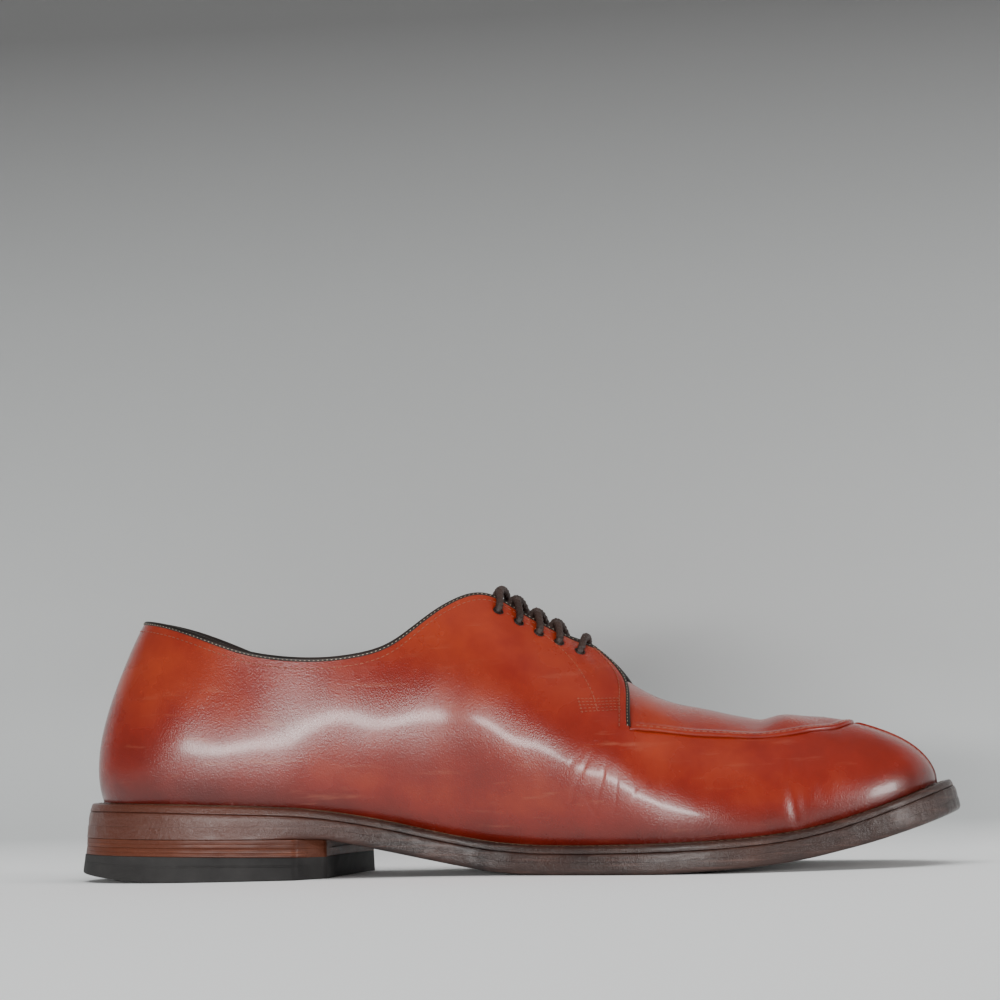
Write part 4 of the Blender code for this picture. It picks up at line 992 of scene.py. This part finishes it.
def stitch_row(name, rows, length, gap, radius, thread, stands_for):
    """Stitches along routes of points and normals; each is five rings of six points.

    A ring's place runs over the stitch's length, its radius and height over half a sine.
    """
    verts, quads, start = [], [], 0
    along = np.array([-0.5, -0.36, 0.0, 0.36, 0.5])
    thick = np.array([0.35, 0.85, 1.0, 0.85, 0.35])
    sink = np.array([-1.0, -0.15, 0.15, -0.15, -1.0])
    turn = np.linspace(0, 2 * np.pi, 6, endpoint=False)
    for row in rows:
        even = even_route(row, length + gap)
        centre, normal = even[:, :3], even[:, 3:]
        normal = normal / np.linalg.norm(normal, axis=1)[:, None]
        run = np.gradient(centre, axis=0)
        run /= np.linalg.norm(run, axis=1)[:, None]
        beside = np.cross(run, normal)
        ring = np.cos(turn)[None, None, :, None] * beside[:, None, None]
        ring = ring + 0.8 * np.sin(turn)[None, None, :, None] * normal[:, None, None]
        spine = centre[:, None] + run[:, None] * (along * length)[None, :, None]
        spine = spine + normal[:, None] * (sink * radius)[None, :, None]
        points = spine[:, :, None] + ring * (thick * radius)[None, :, None, None]
        one = grid_quads(5, 6, round_rows=True)
        one = np.concatenate([one, [[0, 1, 4, 5], [1, 2, 3, 4], [24, 29, 28, 25], [25, 28, 27, 26]]])
        many = one[None] + (np.arange(len(even)) * 30)[:, None, None]
        verts.append(points.reshape(-1, 3))
        quads.append(many.reshape(-1, 4) + start)
        start += 30 * len(even)
    piece = put_mesh(name, np.concatenate(verts), np.concatenate(quads), thread, sharp=80, weld=0.000001)
    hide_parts(*stands_for)


def wall_row(side, places, lengths, count=200):
    """A route on a side's outer face through pairs of place and length, with its normals."""
    knots = np.linspace(0, 1, len(places))
    curve = bending_curve(knots, np.column_stack([places, lengths]))(np.linspace(0, 1, count))
    points, normals = on_wall(side, curve[:, 0], curve[:, 1], height=0.05)
    return np.concatenate([points, normals], 1)


def apron_row(side, across, height):
    """A route on the apron, a steady distance in from its edge, with its normals."""
    places = np.linspace(0.652, 1.0, 300)
    points, normals, inward = apron_grids(side, places)
    column = int(np.argmin(np.abs(inward[0] - across)))
    normal = normals[:, column] / np.linalg.norm(normals[:, column], axis=1)[:, None]
    stand = apron_height(inward[:, column]) + height
    stand = stand + apron_relief(points[:, column]) * ease(inward[:, column], 1.0, 12.0)
    return np.concatenate([points[:, column] + normal * stand[:, None], normal], 1)


collar_rows = [facing_edge(side, inset=3.6, stand=0.70) for side in HANDS]
binding_rows = [facing_edge(side, inset=0.75, stand=0.93) for side in HANDS]
EYELET_ROW_PLACES = (0.556, 0.580, 0.600, 0.611, 0.617, 0.618)
EYELET_ROW_LENGTHS = (89.4, 83.8, 73.5, 64.0, 55.5, 48.5)
eyelet_rows = [wall_row(side, EYELET_ROW_PLACES, EYELET_ROW_LENGTHS) for side in HANDS]
TACK_PLACES = (0.604, 0.614, 0.625, 0.637)
tack_rows = []
for side in HANDS:
    for low in (47.6, 48.9, 50.2, 51.5, 52.8):
        tack_rows.append(wall_row(side, TACK_PLACES, (low, low + 0.2, low + 0.5, low + 0.8)))
    tack_rows.append(wall_row(side, (0.604, 0.604), (47.5, 53.0), count=30))
apron_lines = [apron_row(side, 1.6, 0.08) for side in HANDS]
toe_lines = [wall_row(side, (0.9915, 0.9915), (6.0, 32.0)) for side in HANDS]
stitch_row("collar_stitches", collar_rows + eyelet_rows, length=1.35, gap=0.55, radius=0.17,
           thread=calf_thread, stands_for=("upper",))
stitch_row("tack_stitches", tack_rows, length=1.0, gap=0.45, radius=0.15,
           thread=calf_thread, stands_for=("upper",))
stitch_row("binding_stitches", binding_rows, length=0.7, gap=0.85, radius=0.13,
           thread=cream_thread, stands_for=("binding",))
stitch_row("apron_stitches", apron_lines, length=1.7, gap=0.6, radius=0.20,
           thread=calf_thread, stands_for=("upper",))
stitch_row("toe_stitches", toe_lines, length=1.5, gap=0.7, radius=0.15,
           thread=calf_thread, stands_for=("upper",))

# Eyelets: five blind holes punched through each facing, each with a dark raw rim and a dark floor
# that stands for the dark lace and painted shade down the hole. The metal, if there is any, is on the
# inside and doesn't show.
# rings as radius and height in mm; the first two and the last make the dark floor, partly painted shade
EYELET_RINGS = ((0.2, -0.75), (1.2, -0.7), (1.35, -0.2), (1.55, 0.10), (1.85, 0.06), (1.95, -0.3),
                (0.2, -1.1))


def build_eyelets():
    """For each hole a small dark ring, uneven by hand punching, and a dark floor, for the lace and
    painted shade down the hole.
    """
    turn = np.linspace(0, 2 * np.pi, 28, endpoint=False)
    for side in HANDS:
        centres, normals = on_wall(side, EYELETS, [EYELET_INSET] * 5, 0.0, from_top=True)
        for number, (centre, normal) in enumerate(zip(centres, normals), 1):
            first = np.cross(normal, (1, 0, 0))
            first /= np.linalg.norm(first)
            second = np.cross(normal, first)
            flat = np.cos(turn)[:, None] * first + np.sin(turn)[:, None] * second
            uneven = 1 + 0.06 * np.sin(3 * turn + number) + 0.04 * np.sin(7 * turn + 2 * number)
            loops = [centre + flat * (r * uneven)[:, None] + normal * h for r, h in EYELET_RINGS]
            points, quads = stack_of_loops(loops)
            piece = put_mesh("eyelet_%s_%d" % (side, number), points, quads, dark_leather, sharp=50)
            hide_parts("upper")


build_eyelets()

# Laces: thin round braided cords, waxed dark brown. A straight bar closes the lowest eyelets, and
# two cords from each pair above it cross over the tongue; the ends are tucked away inside.
LACE_RADIUS = 1.25
LACE_STEP = 0.22
waxed_lace = leather("waxed_lace", (0.018, 0.010, 0.008), (0.055, 0.032, 0.026), 0.5, 2600.0, bump=0.5)


def braided_cord(name, knots, node):
    """A cord through the knots whose skin swells where its strands cross: two opposed helices."""
    knots = np.asarray(knots, float)
    chord = np.concatenate([[0], np.cumsum(np.linalg.norm(np.diff(knots, axis=0), axis=1))])
    route = even_route(bending_curve(chord, knots)(np.linspace(0, chord[-1], 300)), LACE_STEP)
    run = np.arange(len(route))[:, None] * LACE_STEP
    turn = np.linspace(0, 2 * np.pi, 20, endpoint=False)[None, :]
    weave = np.abs(np.sin(1.5 * run + 2 * turn)) * np.abs(np.sin(1.5 * run - 2 * turn))
    skin = sweep(route, LACE_RADIUS * (0.87 + 0.24 * weave), sides=20)
    piece = put_mesh(name, *skin, waxed_lace, sharp=80)
    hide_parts(node)


def lace_leg(side, place, ahead):
    """From down in an eyelet, up over the facing to its free edge; ahead is the shift by then."""
    places = [place, place + 0.1 * ahead, place + 0.45 * ahead, place + ahead]
    points, normals = on_wall(side, places, [6.8, 5.9, 2.8, -0.6], 0.0, from_top=True)
    return points + normals * np.array([-1.2, 0.7, 1.6, 1.9])[:, None]


def build_laces():
    """The bar and the crossings; a crossing dives under the opposite facing before the next pair."""
    legs = [lace_leg(side, EYELETS[-1], 0.0) for side in HANDS]
    middle = (legs[0][-1] + legs[1][-1]) / 2 + np.array([0, 0, 0.7])
    braided_cord("lace_bar_cord", np.concatenate([legs[0], [middle], legs[1][::-1]]), "lace_bar")
    step = (EYELETS[0] - EYELETS[-1]) / 4
    for index in range(4):
        stride = step * (0.4 if index == 0 else 1.0)
        for side, other, lap in (("medial", "lateral", 0.2), ("lateral", "medial", 1.5)):
            leg = lace_leg(side, EYELETS[index], 0.25 * stride)
            edges = [on_wall(hand, [EYELETS[index] + 0.5 * stride], [0.0], -1.2, from_top=True)[0][0]
                     for hand in (side, other)]
            across = (edges[0] - edges[1]) / np.linalg.norm(edges[0] - edges[1])
            dive = edges[1] + across * (LACE_RADIUS + 0.3)
            middle = leg[-1] * 0.45 + dive * 0.55 + np.array([0, 0, 1.0 + lap])
            braided_cord("lace_cord_%d_%s" % (4 - index, side), np.concatenate([leg, [middle, dive]]),
                         "lace_crossing_%d" % (4 - index))


build_laces()

# Sole: a leather outsole and midsole whose dressed edges read as one dark worn band, with the
# welt above them, sewn through all round. The layers' edges are rounded and dented by use.
OUTSOLE_THICKNESS = 4.2
WELT_THICKNESS = 2.5
EDGE_POINTS = 420
# each row of a layer's edge: inset in mm, share of the layer's height, share of the end taper
OUTSOLE_EDGE = ((7.0, 0.0, 0.0), (1.9, 0.0, 0.0), (1.1, 0.03, 0.0), (0.5, 0.12, 0.05), (0.15, 0.28, 0.1),
                (0.02, 0.5, 0.2), (0.0, 0.75, 0.28), (0.0, 1.0, 0.36), (7.0, 1.0, 0.36))
MIDSOLE_EDGE = ((7.0, 0.0, 0.37), (0.0, 0.0, 0.37), (0.0, 0.3, 0.46), (0.03, 0.6, 0.55),
                (0.10, 0.85, 0.64), (0.28, 0.97, 0.7), (0.6, 1.0, 0.7), (7.0, 1.0, 0.7))
WELT_EDGE = ((0.6, 0.0, 0.75), (0.30, 0.06, 0.75), (0.22, 0.3, 0.82), (0.3, 0.62, 0.9),
             (0.55, 0.88, 0.96), (0.95, 0.99, 1.0), (1.6, 1.0, 1.0))


def dents(points, depth, seed):
    """Small uneven dents: a sum of sixteen waves in random directions, 3 to 14 mm long."""
    chance = np.random.default_rng(seed)
    waves = chance.normal(size=(16, 3))
    waves *= (2 * np.pi / chance.uniform(3, 14, 16) / np.linalg.norm(waves, axis=1))[:, None]
    turns = chance.uniform(0, 2 * np.pi, 16)
    return depth * np.sin(points @ waves.T + turns).sum(-1) / 4


def sole_loops(profile, low, high, depth=0.15):
    """Loops of a layer's edge between two heights; its lower rounding fades out at the heel."""
    loops = []
    centre = np.array([150.0, 0.0])
    for inset, share, taper in profile:
        def round_off(places):
            fades = share <= 0.29 and inset <= 2.5
            return inset * (ease(places, 0.25, 0.33) if fades else np.ones(len(places)))

        def height(x):
            return low(x) + share * (high(x) - low(x))

        loop = edge_loop(round_off, height, taper, EDGE_POINTS)
        away = loop[:, :2] - centre
        away /= np.linalg.norm(away, axis=1)[:, None]
        loop[:, :2] += away * dents(loop, depth, 5)[:, None] * min(1.0, 4 * share)
        loops.append(loop)
    return loops


def edge_leather(name, dark, light, rough, streaks):
    """Dressed sole edge: dark finish rubbed off in fine lines along the layers."""
    made = leather(name, dark, light, rough, 700.0, bump=0.9, coat=0.15)
    nodes, links = made.node_tree.nodes, made.node_tree.links
    place = nodes.new("ShaderNodeTexCoord")
    stretch = nodes.new("ShaderNodeMapping")
    stretch.inputs["Scale"].default_value = (50.0, 50.0, 1300.0)
    lines = nodes.new("ShaderNodeTexNoise")
    lines.inputs["Scale"].default_value = 1.0
    lines.inputs["Detail"].default_value = 5.0
    lines.inputs["Roughness"].default_value = 0.65
    mask = nodes.new("ShaderNodeMapRange")
    mask.inputs["From Min"].default_value = 0.52
    mask.inputs["From Max"].default_value = 0.72
    mask.inputs["To Max"].default_value = streaks
    worn = nodes.new("ShaderNodeMix")
    worn.data_type = "RGBA"
    worn.inputs["B"].default_value = (*(min(1.0, 3.2 * c + 0.04) for c in light), 1)
    links.new(place.outputs["Object"], stretch.inputs["Vector"])
    links.new(stretch.outputs["Vector"], lines.inputs["Vector"])
    links.new(lines.outputs["Fac"], mask.inputs["Value"])
    links.new(mask.outputs["Result"], worn.inputs["Factor"])
    split = nodes.new("ShaderNodeSeparateXYZ")
    at_heel = nodes.new("ShaderNodeMapRange")
    at_heel.inputs["From Min"].default_value = -0.045
    at_heel.inputs["From Max"].default_value = -0.095
    at_heel.inputs["To Max"].default_value = 0.75
    redder = nodes.new("ShaderNodeMix")
    redder.data_type = "RGBA"
    redder.inputs["B"].default_value = (0.105, 0.026, 0.012, 1)
    base = nodes["Principled BSDF"].inputs["Base Color"]
    links.new(place.outputs["Object"], split.inputs[0])
    links.new(split.outputs["X"], at_heel.inputs["Value"])
    links.new(at_heel.outputs["Result"], redder.inputs["Factor"])
    links.new(base.links[0].from_socket, redder.inputs["A"])
    links.new(redder.outputs["Result"], worn.inputs["A"])
    links.new(worn.outputs["Result"], base)
    return made


sole_leather = edge_leather("sole_leather", (0.012, 0.005, 0.004), (0.050, 0.019, 0.012), 0.32, 0.30)
welt_thread = leather("welt_thread", (0.05, 0.032, 0.022), (0.13, 0.085, 0.06), 0.6, 3000.0)


def feather_inset(places):
    """The distance from the outline in to the foot of the upper."""
    return rib_values(places)[:, RIB_COLUMNS.index("welt_width") - 1]


def build_sole():
    """Outsole and midsole as stacks of loops; the welt as a ring round the insole."""
    def outsole_top(x):
        return bottom_height(x) + OUTSOLE_THICKNESS

    def midsole_low(x):
        return outsole_top(x) + 0.04

    def welt_low(x):
        return welt_height(x) - WELT_THICKNESS

    def midsole_top(x):
        return welt_low(x) - 0.05

    def under_upper(places):
        return feather_inset(places) + 3.4

    def stitch_inset(places):
        return np.minimum(2.9, feather_inset(places) - 1.2)

    def on_welt(x):
        return welt_height(x) + 0.05

    layers = (("outsole_leather", "outsole", bottom_height, outsole_top, OUTSOLE_EDGE),
              ("midsole_leather", "midsole", midsole_low, midsole_top, MIDSOLE_EDGE))
    for name, node, low, high, profile in layers:
        piece = put_mesh(name, *stack_of_loops(sole_loops(profile, low, high)), sole_leather, sharp=50)
        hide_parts(node)
    loops = sole_loops(WELT_EDGE, welt_low, welt_height, 0.07)
    for height in (welt_height, welt_low):
        loops.append(edge_loop(under_upper, height, None, EDGE_POINTS))
    piece = put_mesh("welt_leather", *stack_of_loops(loops, hollow=True), sole_leather, sharp=50)
    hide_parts("welt")
    row = edge_loop(stitch_inset, on_welt, 1.0, EDGE_POINTS)
    row = np.concatenate([row, np.broadcast_to([0.0, 0.0, 1.0], row.shape)], 1)
    stitch_row("welt_stitches", [row], length=2.0, gap=0.8, radius=0.17,
               thread=welt_thread, stands_for=("welt",))


build_sole()

# Heel: two lifts of sole leather, dressed at the edge, over a rubber top piece with a fine lip
# line round it. The rubber is worn away at its back edge.
BREAST_ENDS = {"medial": 82.5, "lateral": 98.5}
BREAST_NOTCH = np.array([91.5, -22.5])
BREAST_MIDDLE = np.array([93.0, 0.0])
BREAST_HOLLOW = np.array([0.4, 0.0])
# a layer's height at the heel's back and at its breast, in mm
LIFT_JOINT = (12.7, 10.4)
RUBBER_TOP = (9.8, 7.4)
heel_leather = edge_leather("heel_leather", (0.040, 0.010, 0.005), (0.120, 0.034, 0.014), 0.45, 0.25)
heel_rubber = leather("heel_rubber", (0.014, 0.013, 0.013), (0.040, 0.038, 0.037), 0.60, 900.0, bump=0.35)
for dull in (heel_leather, heel_rubber):
    dull.node_tree.nodes["Principled BSDF"].inputs["Specular IOR Level"].default_value = 0.22


def heel_loop(inset, height):
    """A closed loop round the heel and across its breast, notched at the inner corner."""
    halves = []
    for side, breast in BREAST_ENDS.items():
        fine = np.linspace(0, 0.5, 600)
        point, normal = EDGE[side](fine)
        moved = point - normal * (inset + edge_taper(point[:, 0], 0.0))[:, None]
        stop = np.interp(breast, moved[:, 0], fine)
        t = np.linspace(0, 1, 90)
        chosen = stop * (0.55 * t + 0.45 * t**1.8)
        halves.append(np.stack([np.interp(chosen, fine, moved[:, axis]) for axis in (0, 1)], 1))
    corner = halves[1][-1]
    rest = corner - BREAST_MIDDLE
    turns = np.stack([halves[0][-1], BREAST_NOTCH, (BREAST_NOTCH + BREAST_MIDDLE) / 2 - BREAST_HOLLOW,
                      BREAST_MIDDLE, BREAST_MIDDLE + rest / 3 - BREAST_HOLLOW,
                      BREAST_MIDDLE + rest * 2 / 3 - BREAST_HOLLOW, corner])
    steps = np.linspace(0, 1, 9)[:-1, None]
    front = np.concatenate([a + (b - a) * steps for a, b in zip(turns, turns[1:])])
    loop = np.concatenate([halves[0][:-1], front, halves[1][:0:-1]])
    return np.column_stack([loop, height(loop[:, 0])])


def sloping(heights):
    """A height that runs straight from the heel's back to its breast."""
    return lambda x: heights[0] + (heights[1] - heights[0]) / BREAST_MIDDLE[0] * np.asarray(x)


def heel_seat(x):
    """The top of the heel, just under the outsole."""
    return bottom_height(x) - 0.1


def worn_rubber(x):
    """The rubber's underside: flat, and worn up in a curve at its back edge."""
    return 3.6 * np.clip(1 - np.asarray(x) / 38.0, 0, 1) ** 1.6


def build_heel():
    """Each layer is a stack of loops whose inset follows its flare, rounded edges and grooves."""
    joint, rubber_top = sloping(LIFT_JOINT), sloping(RUBBER_TOP)
    layers = (
        ("heel_lift_upper", "heel_lift_1", joint, heel_seat, (0.05, 0.15), (0.5,),
         heel_leather, "heel_leather"),
        ("heel_lift_lower", "heel_lift_2", rubber_top, joint, (-0.35, 0.1), (0.5,),
         heel_leather, "heel_leather"),
        ("heel_rubber_piece", "heel_top_piece", worn_rubber, rubber_top, (-1.5, -0.6), (0.60, 0.66),
         heel_rubber, "heel_rubber"),
    )
    near_ends = [0, 0.015, 0.04, 0.1, 0.2, 0.3, 0.4, 0.8, 0.9, 0.96, 0.985, 1]
    for name, node, low, high, flare, grooves, material, slot_name in layers:
        near_grooves = [[g - 0.045, g - 0.02, g, g + 0.02, g + 0.045] for g in grooves]
        loops = []
        for share in np.unique(np.concatenate([near_ends] + near_grooves)):
            def height(x):
                return low(x) + share * (high(x) - low(x)) - 0.02

            inset = flare[0] + (flare[1] - flare[0]) * share
            inset += 0.22 * np.exp(-share / 0.03) + 0.12 * np.exp(-(1 - share) / 0.02)
            inset += 0.09 * sum(np.exp(-(((share - g) / 0.014) ** 2)) for g in grooves)
            loop = heel_loop(inset, height)
            away = loop[:, :2] - (40.0, 0.0)
            away /= np.linalg.norm(away, axis=1)[:, None]
            loop[:, :2] += away * dents(loop, 0.05, 9)[:, None]
            lowest = worn_rubber(loop[:, 0]) if material is heel_rubber else 0
            loop[:, 2] = np.maximum(loop[:, 2], lowest)
            loops.append(loop)
        piece = put_mesh(name, *stack_of_loops(loops), material, sharp=50)
        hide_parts(node)


build_heel()

# Insole sock: the tan leather glued on the insole, seen down through the collar. With the insole
# under it, it fills the space inside the welt.
SOCK_EDGE = ((3.6, -2.3), (2.7, -0.2), (2.7, 1.8), (3.3, 2.6), (4.5, 3.0))


def build_insole():
    """A flat body of loops, each a row of inset and rise in mm, rounded where it meets the lining."""
    loops = []
    for inset, rise in SOCK_EDGE:
        def edge_inset(places):
            return feather_inset(places) + inset

        def height(x):
            return welt_height(x) + rise

        loops.append(edge_loop(edge_inset, height, None, 300))
    piece = put_mesh("insole_sock", *stack_of_loops(loops), lining_leather, sharp=50)
    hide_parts("insole")


build_insole()
